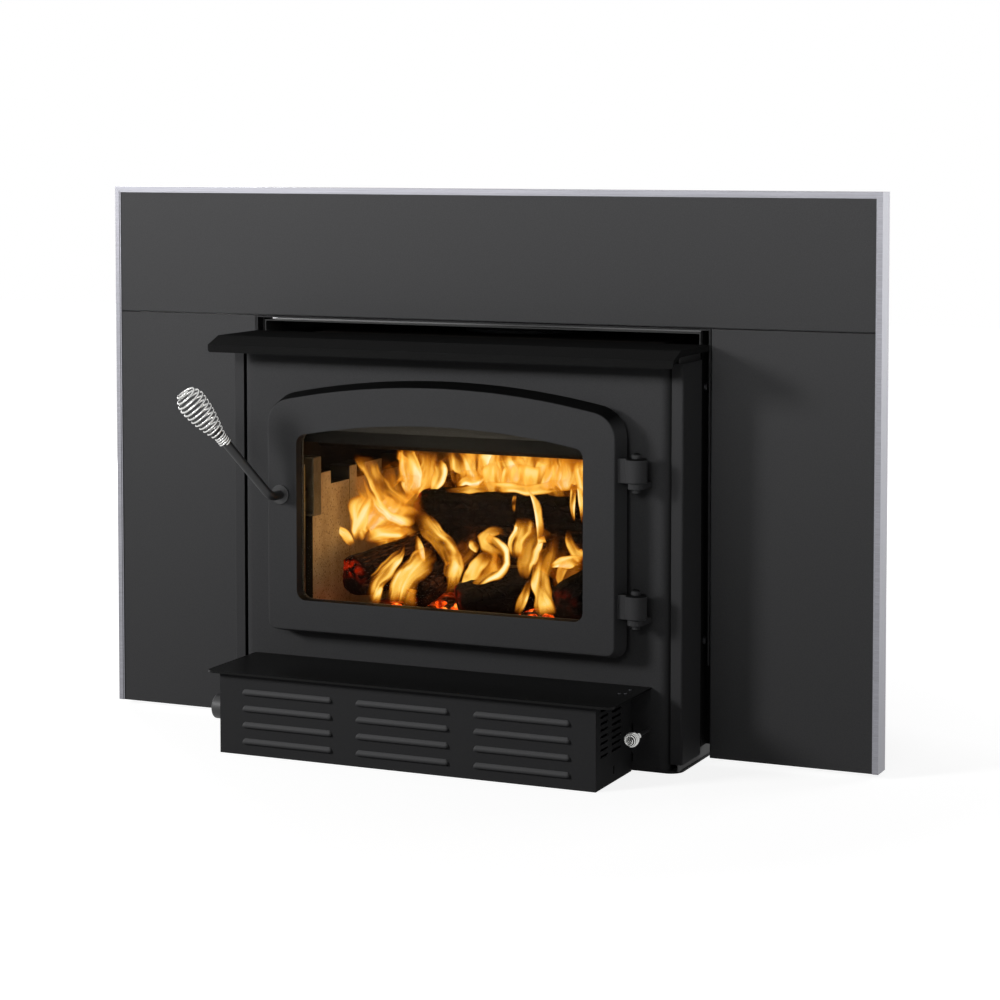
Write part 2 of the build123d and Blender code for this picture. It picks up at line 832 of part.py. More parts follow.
sleeve_radius = rod_radius + run_fit + sleeve_wall
pane_half = window_half + glass_lap
pane_bottom = window_bottom - glass_lap
pane_crown = window_crown + glass_lap
pane_arch = window_arch + glass_lap
pane_corner = window_corner + glass_lap
with BuildPart() as knuckle:
    Cylinder(knuckle_radius, knuckle_length, align=(Align.CENTER, Align.CENTER, Align.MIN))
    chamfer(edges().filter_by(GeomType.CIRCLE), knuckle_chamfer)

with BuildPart() as door_frame:
    with BuildSketch(at_y(door_back)):
        add(arched(*back_outline))
    with BuildSketch(at_y(door_face)):
        add(arched(door_half, door_bottom, door_crown, door_arch,
                   door_top_corner, door_bottom_corner))
    loft(ruled=True)
    fillet(faces().sort_by(Axis.Y)[0].edges(), door_edge)
    with BuildSketch(at_y(door_back)):
        add(arched(window_half, window_bottom, window_crown, window_arch,
                   window_corner, window_corner))
    extrude(amount=door_thick, mode=Mode.SUBTRACT)
    with BuildSketch(at_y(door_back)):
        add(arched(pane_half + glass_play, pane_bottom - glass_play, pane_crown + glass_play,
                   pane_arch + glass_play, pane_corner + glass_play, pane_corner + glass_play))
    extrude(amount=door_thick - glass_set_back + seat, mode=Mode.SUBTRACT)
    with BuildSketch(at_y(door_back)):
        add(door_ring(rope_inset - rope_width / 2 - seat, rope_width + 2 * seat))
    extrude(amount=rope_groove, mode=Mode.SUBTRACT)
    with BuildSketch(*[Plane.XY.offset(z) for z in knuckle_bottoms]):
        block(door_half - arm_root, hinge_x, hinge_y - arm_half, hinge_y + arm_half)
    extrude(amount=knuckle_length)
    with Locations(*[(hinge_x, hinge_y, z) for z in knuckle_bottoms]):
        add(knuckle.part)
    with BuildSketch(Plane.XY.offset(door_bottom)):
        with Locations((hinge_x, hinge_y)):
            Circle(hinge_pin_radius + run_fit)
    extrude(amount=door_crown - door_bottom, mode=Mode.SUBTRACT)
    with BuildSketch(at_y(door_back)):
        with Locations((handle_x, handle_z)):
            Circle(sleeve_radius + run_fit)
    extrude(amount=door_thick, mode=Mode.SUBTRACT)
save(door_frame, "door_frame")

with BuildPart() as door_glass:
    with BuildSketch(at_y(glass_back)):
        add(arched(pane_half, pane_bottom, pane_crown, pane_arch, pane_corner, pane_corner))
    extrude(amount=glass_thick)
save(door_glass, "door_glass")

# Flat rope behind the pane, pressed by four retainers.
pane_rope = door_back - glass_back - 2 * seat
with BuildPart() as glass_gasket:
    with BuildSketch(at_y(door_back - seat)):
        add(arched(pane_half, pane_bottom, pane_crown, pane_arch, pane_corner, pane_corner))
        add(arched(window_half, window_bottom, window_crown, window_arch,
                   window_corner, window_corner), mode=Mode.SUBTRACT)
    extrude(amount=pane_rope)
save(glass_gasket, "glass_gasket")

with BuildPart() as door_gasket:
    with BuildSketch(at_y(door_back - rope_groove + seat)):
        add(door_ring(rope_inset - rope_width / 2, rope_width))
    rope_height = door_gap - seat_rim_height + rope_groove - 2 * seat
    extrude(amount=-rope_height)
save(door_gasket, "door_gasket")

# Four steel retainers behind the pane, each with two screws.
bar_out = pane_half + retainer_width - retainer_lap
bar_in = pane_half - retainer_lap
bar_low = pane_bottom - retainer_width + retainer_lap
bar_side_top = pane_crown - retainer_crown_drop
bar_top = pane_crown - retainer_crown_lap
bar_head = bar_top + retainer_width
with BuildPart() as glass_retainers:
    with BuildSketch(at_y(door_back + seat + retainer_sheet)):
        for side in (-1, 1):
            block(side * bar_in, side * (bar_in + retainer_width),
                  pane_bottom + retainer_play, bar_side_top)
        block(-pane_half + retainer_play, pane_half - retainer_play,
              bar_low, bar_low + retainer_width)
        block(-pane_half / 2, pane_half / 2, bar_top, bar_head)
    extrude(amount=retainer_sheet)
save(glass_retainers, "glass_retainers")

screw_rise = (pane_bottom + retainer_play + bar_side_top) / 2
with BuildPart() as retainer_screws:
    screw_y = door_back + seat + retainer_sheet + seat + retainer_screw_height
    screw_x = bar_in + retainer_width - retainer_screw_edge
    with BuildSketch(at_y(screw_y)):
        for side in (-1, 1):
            with Locations((side * screw_x, screw_rise - retainer_screw_spread),
                           (side * screw_x, screw_rise + retainer_screw_spread),
                           (side * 2 * retainer_screw_spread, bar_low + retainer_screw_edge),
                           (side * retainer_screw_spread, bar_head - retainer_screw_edge)):
                Circle(retainer_screw_radius)
    extrude(amount=retainer_screw_height)
save(retainer_screws, "retainer_screws")

# ---------------------------------------------------------------------------
# Hinges
# ---------------------------------------------------------------------------
bracket_tops = [z - seat for z in knuckle_bottoms]
with BuildPart() as hinge_brackets:
    with BuildSketch(*[Plane.XY.offset(z - bracket_sheet) for z in bracket_tops]):
        with Locations((hinge_x, hinge_y)):
            Circle(bracket_width / 2)
        block(hinge_x - bracket_width / 2, hinge_x + bracket_width / 2, hinge_y, plate_y)
        with Locations((hinge_x, hinge_y)):
            Circle(hinge_pin_radius + run_fit, mode=Mode.SUBTRACT)
    extrude(amount=bracket_sheet)
save(hinge_brackets, "hinge_brackets")

with BuildPart() as hinge_pins:
    for z in knuckle_bottoms:
        shoulder = z + knuckle_length + seat
        tail = z - seat - bracket_sheet - pin_tail
        with BuildSketch(Plane.XY.offset(tail)):
            with Locations((hinge_x, hinge_y)):
                Circle(hinge_pin_radius)
        extrude(amount=shoulder - tail)
        with BuildSketch(Plane.XY.offset(shoulder)):
            with Locations((hinge_x, hinge_y)):
                Circle(pin_head_radius)
        extrude(amount=pin_head_rise)
        fillet(faces().sort_by(Axis.Z)[-1].edges(), pin_head_round)
save(hinge_pins, "hinge_pins")

# ---------------------------------------------------------------------------
# Handle, coil grip and latch
# ---------------------------------------------------------------------------
washer_y = door_face - seat
with BuildPart() as handle_bushing:
    with BuildSketch(at_y(washer_y)):
        with Locations((handle_x, handle_z)):
            Circle(washer_radius)
    extrude(amount=washer_thick)
    fillet(faces().sort_by(Axis.Y)[0].edges(), washer_round)
    with BuildSketch(at_y(door_back)):
        with Locations((handle_x, handle_z)):
            Circle(sleeve_radius)
    extrude(amount=door_back - washer_y)
    with BuildSketch(at_y(door_back)):
        with Locations((handle_x, handle_z)):
            Circle(rod_radius + run_fit)
    extrude(amount=door_back - washer_y + washer_thick, mode=Mode.SUBTRACT)
save(handle_bushing, "handle_bushing")

cam_y = plate_back + seat
cam_back = cam_y + cam_thick
nut_back = cam_back + seat + cam_nut_height
bend = Vector(handle_x, door_face - rod_reach, handle_z)
lean = Vector(*grip_reach).normalized()
neck = bend + Vector(*grip_reach) - lean * grip_length
rod_end = neck + lean * rod_inside_grip
with BuildPart() as handle_rod:
    with BuildLine() as rod_path:
        FilletPolyline((handle_x, nut_back + rod_tail, handle_z), tuple(bend), tuple(rod_end),
                       radius=rod_bend_radius)
    with BuildSketch(at_y(nut_back + rod_tail)):
        with Locations((handle_x, handle_z)):
            Circle(rod_radius)
    sweep(path=rod_path.line)
save(handle_rod, "handle_rod")


def coil_radius(s, length, neck_length, neck_radius, belly_place, belly_radius, mouth_radius):
    """Radius of a blown-out spring grip: a tight neck, a long swell and a quick close."""
    belly = belly_place * length
    if s <= neck_length:
        return neck_radius
    if s <= belly:
        share = (s - neck_length) / (belly - neck_length)
        return neck_radius + (belly_radius - neck_radius) * math.sin(share * math.pi / 2)
    share = (s - belly) / (length - belly)
    return belly_radius + (mouth_radius - belly_radius) * (1 - math.cos(share * math.pi / 2))


turn_samples = 24  # points on one turn, to measure a grip's gap to itself


def coil_points(start, axis, side, length, turns, neck_pitch, shape):
    """Points and tangents of the grip's wire, one for each half turn, and finer ones to test it."""
    neck_turns, swell_turns, close_turns = turns
    neck_length = neck_turns * neck_pitch
    neck_radius, belly_place, belly_radius, mouth_radius = shape
    belly = belly_place * length
    up = axis.cross(side)

    def along(turn):
        if turn <= neck_turns:
            return turn * neck_pitch
        if turn <= neck_turns + swell_turns:
            return neck_length + (turn - neck_turns) / swell_turns * (belly - neck_length)
        return belly + (turn - neck_turns - swell_turns) / close_turns * (length - belly)

    def place(turn):
        s = along(turn)
        radius = coil_radius(s, length, neck_length, neck_radius, belly_place, belly_radius,
                             mouth_radius)
        angle = 2 * math.pi * turn
        return start + axis * s + side * (radius * math.cos(angle)) + up * (radius * math.sin(angle))

    total = neck_turns + swell_turns + close_turns
    step = 0.5
    count = int(total / step)
    halves = []
    for i in range(count + 1):
        turn = i * step
        before = place(max(turn - 0.01, 0))
        after = place(min(turn + 0.01, total))
        halves.append((place(turn), (after - before).normalized()))
    fine = [place(i / turn_samples) for i in range(total * turn_samples + 1)]
    return halves, fine


def wind(halves, wire):
    """Biarcs through the half turns, with a straight end of one wire diameter at both ends."""
    first, first_way = halves[0]
    Line(tuple(first - first_way * wire), tuple(first))
    for (p0, t0), (p1, t1) in zip(halves, halves[1:]):
        chord = p1 - p0
        both = t0 + t1
        turn = 2 * (1 - t0.dot(t1))
        reach = (-chord.dot(both) + math.sqrt(chord.dot(both) ** 2 + turn * chord.dot(chord))) / turn
        q0 = p0 + t0 * reach
        q1 = p1 - t1 * reach
        middle = (q0 + q1) * 0.5
        TangentArc(tuple(p0), tuple(middle), tangent=tuple(t0))
        TangentArc(tuple(middle), tuple(p1), tangent=tuple(q1 - q0))
    last, last_way = halves[-1]
    Line(tuple(last), tuple(last + last_way * wire))


def self_gap(fine, wire):
    """Least gap of a wound wire to itself, measured on its points."""
    least = math.inf
    for i in range(len(fine)):
        for j in range(i + turn_samples // 2, min(i + 2 * turn_samples, len(fine))):
            least = min(least, (fine[i] - fine[j]).length)
    return least - wire


grip_side = Vector(0, 0, 1).cross(lean).normalized()
grip_neck_radius = rod_radius + grip_wire / 2 + coil_play
grip_halves, grip_fine = coil_points(
    neck, lean, grip_side, grip_length,
    (grip_neck_turns, grip_swell_turns, grip_close_turns), grip_neck_pitch,
    (grip_neck_radius, grip_belly_place, grip_belly_radius, grip_mouth_radius))
print(f"handle grip: least gap to itself {self_gap(grip_fine, grip_wire):.2f} mm")
with BuildPart() as handle_coil:
    with BuildLine() as grip_path:
        wind(grip_halves, grip_wire)
    with BuildSketch(Plane(origin=grip_path.line @ 0, z_dir=grip_path.line % 0)):
        Circle(grip_wire / 2)
    sweep(path=grip_path.line)
save(handle_coil, "handle_coil")

# The latch finger stands up when the handle is raised and turns behind the front plate.
with BuildPart() as latch_cam:
    with BuildSketch(at_y(cam_back)):
        with Locations((handle_x, handle_z)):
            Circle(cam_hub_radius)
        block(handle_x - cam_half_width, handle_x + cam_half_width, handle_z, handle_z + cam_reach)
        with Locations((handle_x, handle_z)):
            Circle(rod_radius + run_fit, mode=Mode.SUBTRACT)
    extrude(amount=cam_thick)
save(latch_cam, "latch_cam")

with BuildPart() as cam_nut:
    with BuildSketch(at_y(nut_back)):
        with Locations((handle_x, handle_z)):
            RegularPolygon(cam_nut_flats / 2, 6, major_radius=False)
            Circle(rod_radius + run_fit, mode=Mode.SUBTRACT)
    extrude(amount=cam_nut_height)
save(cam_nut, "cam_nut")

# ---------------------------------------------------------------------------
# Ash lip, blower housing and what it holds
# ---------------------------------------------------------------------------
with BuildPart() as ash_lip:
    with BuildSketch(Plane.XY.offset(blower_height)):
        block(lip_left, lip_right, blower_y - lip_overhang, plate_y)
        fillet(vertices().group_by(Axis.Y)[0], lip_corner)
    extrude(amount=lip_sheet)
save(ash_lip, "ash_lip")

lip_top = blower_height + lip_sheet
with BuildPart() as lip_screws:
    with BuildSketch(Plane.XY.offset(lip_top + seat)):
        with Locations(*[(lip_right + x, plate_y + y) for x, y in lip_screw_places]):
            Circle(lip_screw_radius)
    extrude(amount=lip_screw_height)
    fillet(edges().group_by(Axis.Z)[-1], lip_screw_round)
save(lip_screws, "lip_screws")

# A louvre: a quarter-round hood pressed out of the sheet, open below, with turned ends.
louvre_radius = (louvre_depth**2 + louvre_height**2) / (2 * louvre_depth)
louvre_run = blower_right - blower_left - 2 * louvre_margin
louvre_length = (louvre_run - (louvre_columns - 1) * louvre_space) / louvre_columns
louvre_flat = louvre_length / 2 - louvre_depth
louvre_step = louvre_length + louvre_space


def louvre_shape(skin):
    """The outside of a louvre (skin 0) or its inside, with its foot on the face of the sheet."""
    centre = louvre_depth - louvre_radius
    radius = louvre_radius - skin
    sweep_angle = math.degrees(math.acos(-centre / radius))
    with BuildPart() as shape:
        with BuildSketch(Plane(origin=(louvre_flat, 0, 0), x_dir=(0, -1, 0), z_dir=(-1, 0, 0))) as end:
            with BuildLine():
                arc = CenterArc((centre, 0), radius, 0, sweep_angle)
                Polyline(arc @ 1, (0, 0), arc @ 0)
            make_face()
        extrude(amount=2 * louvre_flat)
        revolve(end.sketch, axis=Axis((louvre_flat, 0, 0), (0, 0, 1)), revolution_arc=90)
        mirror(about=Plane.YZ)
    return shape.part


# Folded housing, open at the back, with louvres in front and slots at the right end.
with BuildPart() as blower_housing:
    with BuildSketch(Plane.XY):
        block(blower_left, blower_right, blower_y, plate_y)
    extrude(amount=blower_height)
    with BuildSketch(Plane.XY.offset(blower_sheet)):
        block(blower_left + blower_sheet, blower_right - blower_sheet,
              blower_y + blower_sheet, plate_y)
    extrude(amount=blower_height - 2 * blower_sheet, mode=Mode.SUBTRACT)
    louvre_outside = louvre_shape(0)
    louvre_inside = louvre_shape(louvre_skin)
    louvre_middle = (blower_left + blower_right) / 2
    louvre_places = [
        (louvre_middle + (column - (louvre_columns - 1) / 2) * louvre_step, blower_y,
         louvre_foot + row * louvre_pitch)
        for column in range(louvre_columns) for row in range(louvre_rows)]
    with Locations(*louvre_places):
        add(louvre_outside)
    with Locations(*louvre_places):
        add(louvre_inside, mode=Mode.SUBTRACT)
    with BuildSketch(at_y(blower_y + blower_sheet)):
        for x, y, z in louvre_places:
            block(x - louvre_flat, x + louvre_flat, z, z + louvre_height - 2 * louvre_skin)
    extrude(amount=blower_sheet, mode=Mode.SUBTRACT)
    with BuildSketch(Plane.YZ.offset(blower_right - blower_sheet)):
        for place, length in side_slot_columns:
            for row in range(side_slot_rows):
                with Locations((blower_y + place, side_slot_bottom + row * side_slot_pitch)):
                    SlotOverall(length, side_slot_height)
        with Locations((blower_y + cord_slot_place[0], cord_slot_place[1])):
            Rectangle(*cord_slot)
    extrude(amount=blower_sheet, mode=Mode.SUBTRACT)
    with BuildSketch(Plane.YZ.offset(blower_left)):
        with Locations((knob_y, knob_z)):
            Circle(knob_shaft_radius + seat)
    extrude(amount=blower_sheet, mode=Mode.SUBTRACT)
save(blower_housing, "blower_housing")


def scroll_outline(wall):
    """A scroll of three quarter arcs that opens to the back; wall thickens it outwards."""
    first = scroll_start
    second = first + scroll_growth
    third = second + scroll_growth
    centre_z = fan_z + scroll_growth
    top = centre_z + third + wall
    exit_y = plate_y - seat
    lip_z = fan_z + scroll_lip - wall
    with BuildSketch() as outline:
        with BuildLine():
            CenterArc((fan_y, fan_z), first + wall, 0, -90)
            CenterArc((fan_y, centre_z), second + wall, -90, -90)
            CenterArc((fan_y + scroll_growth, centre_z), third + wall, 180, -90)
            Polyline((fan_y + scroll_growth, top), (exit_y, top), (exit_y, lip_z),
                     (fan_y + first + wall, lip_z), (fan_y + first + wall, fan_z))
        make_face()
    return outline.sketch


with BuildPart() as blower_scrolls:
    for centre in fan_centres:
        with BuildSketch(Plane.YZ.offset(centre - scroll_half - scroll_sheet)):
            add(scroll_outline(scroll_sheet))
        extrude(amount=2 * (scroll_half + scroll_sheet))
        with BuildSketch(Plane.YZ.offset(centre - scroll_half)):
            add(scroll_outline(0))
        extrude(amount=2 * scroll_half, mode=Mode.SUBTRACT)
        with BuildSketch(Plane.YZ.offset(centre - scroll_half - scroll_sheet)):
            with Locations((fan_y, fan_z)):
                Circle(fan_radius - scroll_rim)
        extrude(amount=2 * (scroll_half + scroll_sheet), mode=Mode.SUBTRACT)
save(blower_scrolls, "blower_scrolls")

floor_inside = blower_sheet + seat
with BuildPart() as blower_motor:
    with BuildSketch(Plane.YZ.offset(motor_left)):
        with Locations((fan_y, fan_z)):
            Circle(fan_radius - motor_set_in)
    extrude(amount=motor_right - motor_left)
    fillet(edges().filter_by(GeomType.CIRCLE), motor_step)
    with BuildSketch(Plane.YZ.offset(motor_left + motor_step)):
        block(fan_y - motor_foot_half, fan_y + motor_foot_half, floor_inside, fan_z)
    extrude(amount=motor_right - motor_left - 2 * motor_step)
    with BuildSketch(Plane.YZ.offset(motor_left)):
        with Locations((fan_y, fan_z)):
            Circle(shaft_radius + run_fit)
    extrude(amount=motor_right - motor_left, mode=Mode.SUBTRACT)
save(blower_motor, "blower_motor")

shaft_left = fan_centres[0] - fan_width / 2
shaft_right = fan_centres[-1] + fan_width / 2
with BuildPart() as blower_shaft:
    with BuildSketch(Plane.YZ.offset(shaft_left)):
        with Locations((fan_y, fan_z)):
            Circle(shaft_radius)
    extrude(amount=shaft_right - shaft_left)
save(blower_shaft, "blower_shaft")

# Squirrel-cage fan wheels: a middle disc, leaning blades and a ring at each end.
with BuildPart() as fan_wheels:
    for centre in fan_centres:
        left = centre - fan_width / 2
        with BuildSketch(Plane.YZ.offset(left)):
            with Locations((fan_y, fan_z)):
                with PolarLocations(fan_radius - fan_blade_depth / 2, fan_blades):
                    Rectangle(fan_blade_depth - fan_blade_sheet, fan_blade_sheet,
                              rotation=fan_blade_lean)
        extrude(amount=fan_width)
        for ring_x in (left, left + fan_width - fan_disc):
            with BuildSketch(Plane.YZ.offset(ring_x)):
                with Locations((fan_y, fan_z)):
                    Circle(fan_radius)
                    Circle(fan_radius - fan_blade_depth, mode=Mode.SUBTRACT)
            extrude(amount=fan_disc)
        with BuildSketch(Plane.YZ.offset(centre - fan_disc / 2)):
            with Locations((fan_y, fan_z)):
                Circle(fan_radius)
                Circle(shaft_radius + run_fit, mode=Mode.SUBTRACT)
        extrude(amount=fan_disc)
save(fan_wheels, "fan_wheels")

control_left = blower_left + blower_sheet + seat
with BuildPart() as speed_control:
    with BuildSketch(Plane.YZ.offset(control_left)):
        with Locations((knob_y, knob_z)):
            Rectangle(control_size, control_size)
        fillet(vertices(), control_corner)
    extrude(amount=control_length)
    with BuildSketch(Plane.YZ.offset(control_left)):
        with Locations((knob_y, knob_z)):
            Circle(knob_shaft_radius + run_fit)
    extrude(amount=control_length, mode=Mode.SUBTRACT)
save(speed_control, "speed_control")

knob_back = blower_left - seat
with BuildPart() as speed_knob:
    with BuildSketch(Plane(origin=(knob_back, knob_y, knob_z), z_dir=(-1, 0, 0))):
        Circle(knob_radius)
    extrude(amount=knob_length)
    fillet(faces().sort_by(Axis.X)[0].edges(), knob_round)
    with BuildSketch(Plane(origin=(knob_back, knob_y, knob_z), z_dir=(1, 0, 0))):
        Circle(knob_shaft_radius)
    extrude(amount=knob_shaft_length)
save(speed_knob, "speed_knob")

# ---------------------------------------------------------------------------
# Air control: rod, coil grip and a damper plate that slides under the air box
# ---------------------------------------------------------------------------
air_grip_y = plate_y - air_grip_reach
with BuildPart() as air_rod:
    with BuildSketch(at_y(air_rod_back)):
        with Locations((air_x, air_z)):
            Circle(air_rod_radius)
    extrude(amount=air_rod_back - air_grip_y + air_rod_inside_grip)
save(air_rod, "air_rod")

air_neck_radius = air_rod_radius + air_wire / 2 + coil_play
air_start = Vector(air_x, air_grip_y, air_z)
air_halves, air_fine = coil_points(
    air_start, Vector(0, -1, 0), Vector(1, 0, 0), air_grip_length,
    (air_neck_turns, air_swell_turns, air_close_turns), air_neck_pitch,
    (air_neck_radius, air_belly_place, air_belly_radius, air_mouth_radius))
print(f"air grip: least gap to itself {self_gap(air_fine, air_wire):.2f} mm")
with BuildPart() as air_coil:
    with BuildLine() as air_path:
        wind(air_halves, air_wire)
    with BuildSketch(Plane(origin=air_path.line @ 0, z_dir=air_path.line % 0)):
        Circle(air_wire / 2)
    sweep(path=air_path.line)
save(air_coil, "air_coil")

# Air box under the firebox floor; two hooked rails below it carry the damper plate.
rail_inner = damper_half + seat
rail_outer = rail_inner + air_box_sheet
rail_bottom = air_box_bottom - seat - damper_sheet - seat - air_box_sheet
air_port_middle = air_port_front + air_port_length / 2
box_front = plate_back + plate_bend - plate_sheet + seat
with BuildPart() as air_box:
    with BuildSketch(Plane.XY.offset(air_box_bottom)):
        block(air_x - air_box_left, air_x + air_box_right, box_front, air_box_back)
    extrude(amount=floor_height - air_box_bottom)
    with BuildSketch(Plane.XY.offset(air_box_bottom + air_box_sheet)):
        block(air_x - air_box_left + air_box_sheet, air_x + air_box_right - air_box_sheet,
              box_front + air_box_sheet, air_box_back - air_box_sheet)
    extrude(amount=floor_height - air_box_bottom - 2 * air_box_sheet, mode=Mode.SUBTRACT)
    with BuildSketch(Plane.XY.offset(floor_height - air_box_sheet)):
        with Locations((air_feed_x, air_feed_y)):
            Rectangle(2 * air_feed_half, air_feed_depth)
    extrude(amount=air_box_sheet, mode=Mode.SUBTRACT)
    with BuildSketch(Plane.XY.offset(air_box_bottom)):
        with Locations((air_x, air_port_middle)):
            Rectangle(2 * air_port_half, air_port_length)
    extrude(amount=air_box_sheet, mode=Mode.SUBTRACT)
    with BuildSketch(at_y(air_box_back)):
        for side in (-1, 1):
            block(air_x + side * rail_inner, air_x + side * rail_outer,
                  rail_bottom, air_box_bottom)
            block(air_x + side * (rail_inner - air_box_sheet), air_x + side * rail_outer,
                  rail_bottom, rail_bottom + air_box_sheet)
    extrude(amount=air_box_back - box_front)
save(air_box, "air_box")

damper_top = air_box_bottom - seat
damper_front = air_port_front - damper_lap - air_travel
damper_back = damper_front + air_port_length + 2 * damper_lap
with BuildPart() as damper_plate:
    with BuildSketch(Plane.XY.offset(damper_top - damper_sheet)):
        block(air_x - damper_half, air_x + damper_half, damper_front, damper_back)
    extrude(amount=damper_sheet)
    with BuildSketch(at_y(damper_back)):
        block(air_x - damper_tab / 2, air_x + damper_tab / 2,
              air_z - damper_tab / 2, damper_top - damper_sheet)
        with Locations((air_x, air_z)):
            Circle(air_rod_radius + run_fit, mode=Mode.SUBTRACT)
    extrude(amount=damper_sheet)
save(damper_plate, "damper_plate")
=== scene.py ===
import math
import random

import bpy
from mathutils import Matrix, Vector, noise
from mathutils.bvhtree import BVHTree


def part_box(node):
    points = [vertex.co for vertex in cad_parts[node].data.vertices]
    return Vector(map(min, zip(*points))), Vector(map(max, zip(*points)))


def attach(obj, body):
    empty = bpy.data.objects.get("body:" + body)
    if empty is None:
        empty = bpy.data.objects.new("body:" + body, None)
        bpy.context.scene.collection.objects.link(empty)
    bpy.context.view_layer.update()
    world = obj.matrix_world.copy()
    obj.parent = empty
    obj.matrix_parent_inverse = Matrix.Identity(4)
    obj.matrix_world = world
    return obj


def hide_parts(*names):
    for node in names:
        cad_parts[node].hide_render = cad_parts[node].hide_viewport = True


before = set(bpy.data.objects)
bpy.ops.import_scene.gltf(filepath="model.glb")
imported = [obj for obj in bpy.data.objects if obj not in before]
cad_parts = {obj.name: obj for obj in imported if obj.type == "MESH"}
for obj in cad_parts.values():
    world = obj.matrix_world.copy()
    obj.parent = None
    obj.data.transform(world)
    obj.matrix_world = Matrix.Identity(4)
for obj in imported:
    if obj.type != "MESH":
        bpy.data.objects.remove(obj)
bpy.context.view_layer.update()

bpy.context.scene.view_settings.view_transform = "Standard"
MM = 0.001


# The room: a plain pale floor that runs into a white background, and keeps the soft shadow of the insert.
# Small functions turn a written colour to the shader's, feed a node, add a node and start a material.

def linear(colour):
    """The linear colour of an sRGB hex value."""
    parts = [int(colour[i:i + 2], 16) / 255 for i in (1, 3, 5)]
    return [p / 12.92 if p <= 0.04045 else ((p + 0.055) / 1.055) ** 2.4 for p in parts] + [1.0]


def feed(tree, node, inputs):
    """Puts a value, or a link from another node, on each of those inputs."""
    for socket, value in inputs.items():
        if isinstance(value, bpy.types.NodeSocket):
            tree.links.new(value, node.inputs[socket])
        else:
            node.inputs[socket].default_value = value


def add(tree, kind, inputs=None, stops=(), **settings):
    """Adds a node with its settings, feeds its inputs, and puts colours on a ramp."""
    made = tree.nodes.new(kind)
    for name, value in settings.items():
        setattr(made, name, value)
    feed(tree, made, inputs or {})
    for number, (place, colour) in enumerate(stops):
        ramp = made.color_ramp.elements
        if number >= len(ramp):
            ramp.new(place)
        ramp[number].position = place
        ramp[number].color = linear(colour)
    return made


def start(name, sockets):
    """A material of one Principled shader with those values, its node tree and the shader."""
    made = bpy.data.materials.new(name)
    made.use_nodes = True
    tree = made.node_tree
    shader = tree.nodes["Principled BSDF"]
    feed(tree, shader, sockets)
    return made, tree, shader


def seen(tree):
    """1 where the camera, a reflection or the pane sees a thing, and 0 where it lights another."""
    path = add(tree, "ShaderNodeLightPath")
    either = add(tree, "ShaderNodeMath", {0: path.outputs["Is Camera Ray"], 1: path.outputs["Is Glossy Ray"]},
                 operation="MAXIMUM")
    return add(tree, "ShaderNodeMath", {0: either.outputs[0], 1: path.outputs["Is Transmission Ray"]},
               operation="MAXIMUM").outputs[0]


floor_reach = 8.0
corners = [(x * floor_reach, y * floor_reach, 0) for x, y in ((-1, -1), (1, -1), (1, 1), (-1, 1))]
floor_mesh = bpy.data.meshes.new("floor")
floor_mesh.from_pydata(corners, [], [(0, 1, 2, 3)])
floor = bpy.data.objects.new("floor", floor_mesh)
bpy.context.scene.collection.objects.link(floor)

# Matt paper, lifted to white where it is seen: only the shadow beside the insert stays grey, and it fades out
# between 0.7 and 1.3 m from the middle.
paper, tree, shader = start("white_paper", {
    "Base Color": linear("#B4B4B4"), "Roughness": 0.9, "Specular IOR Level": 0.0,
    "Emission Color": linear("#FFFFFF"),
})
place = add(tree, "ShaderNodeTexCoord").outputs["Object"]
away = add(tree, "ShaderNodeVectorMath", {0: place}, operation="LENGTH")
whiter = add(tree, "ShaderNodeMapRange", {
    "Value": away.outputs["Value"], "From Min": 0.7, "From Max": 1.3, "To Min": 0.86, "To Max": 1.0,
})
lift = add(tree, "ShaderNodeMath", {0: seen(tree), 1: whiter.outputs["Result"]}, operation="MULTIPLY")
feed(tree, shader, {"Emission Strength": lift.outputs[0]})
floor_mesh.materials.append(paper)

# The world is white where it is seen, and fills the shadows with a tenth of that.
world = bpy.data.worlds.new("studio")
bpy.context.scene.world = world
world.use_nodes = True
tree = world.node_tree
background = tree.nodes["Background"]
strength = add(tree, "ShaderNodeMapRange", {"Value": seen(tree), "To Min": 0.1, "To Max": 1.0})
feed(tree, background, {"Color": linear("#FFFFFF"), "Strength": strength.outputs[0]})


# The camera stands to the right of the insert, a little above it, as for the photograph.
# It looks 3.4 degrees down, and the shift brings the insert to the middle of the frame.

camera_data = bpy.data.cameras.new("camera")
camera_data.lens = 94.308
camera_data.sensor_width = 36.0
camera_data.shift_y = -0.20
camera_data.clip_end = 60.0
down, round_right = 3.41, 23.995
camera = bpy.data.objects.new("camera", camera_data)
camera.location = (1.4489, -3.2020, 0.8003)
camera.rotation_euler = (math.radians(90 - down), 0, math.radians(round_right))
bpy.context.scene.collection.objects.link(camera)
bpy.context.scene.camera = camera


# The studio: a soft box low on the left, whose light throws the hood's slanting shadow on the right panel, a
# wide strip with a grid aimed over the top edge, so that its light fades downwards, and two boxes behind.

def lamp(name, place, aim, size, power, spread=180):
    """A rectangular lamp in metres and watts, aimed at a point."""
    data = bpy.data.lights.new(name, "AREA")
    data.shape = "RECTANGLE"
    data.size, data.size_y = size
    data.energy = power
    data.spread = math.radians(spread)
    made = bpy.data.objects.new(name, data)
    made.location = place
    made.rotation_euler = (Vector(aim) - Vector(place)).to_track_quat("-Z", "Y").to_euler()
    bpy.context.scene.collection.objects.link(made)


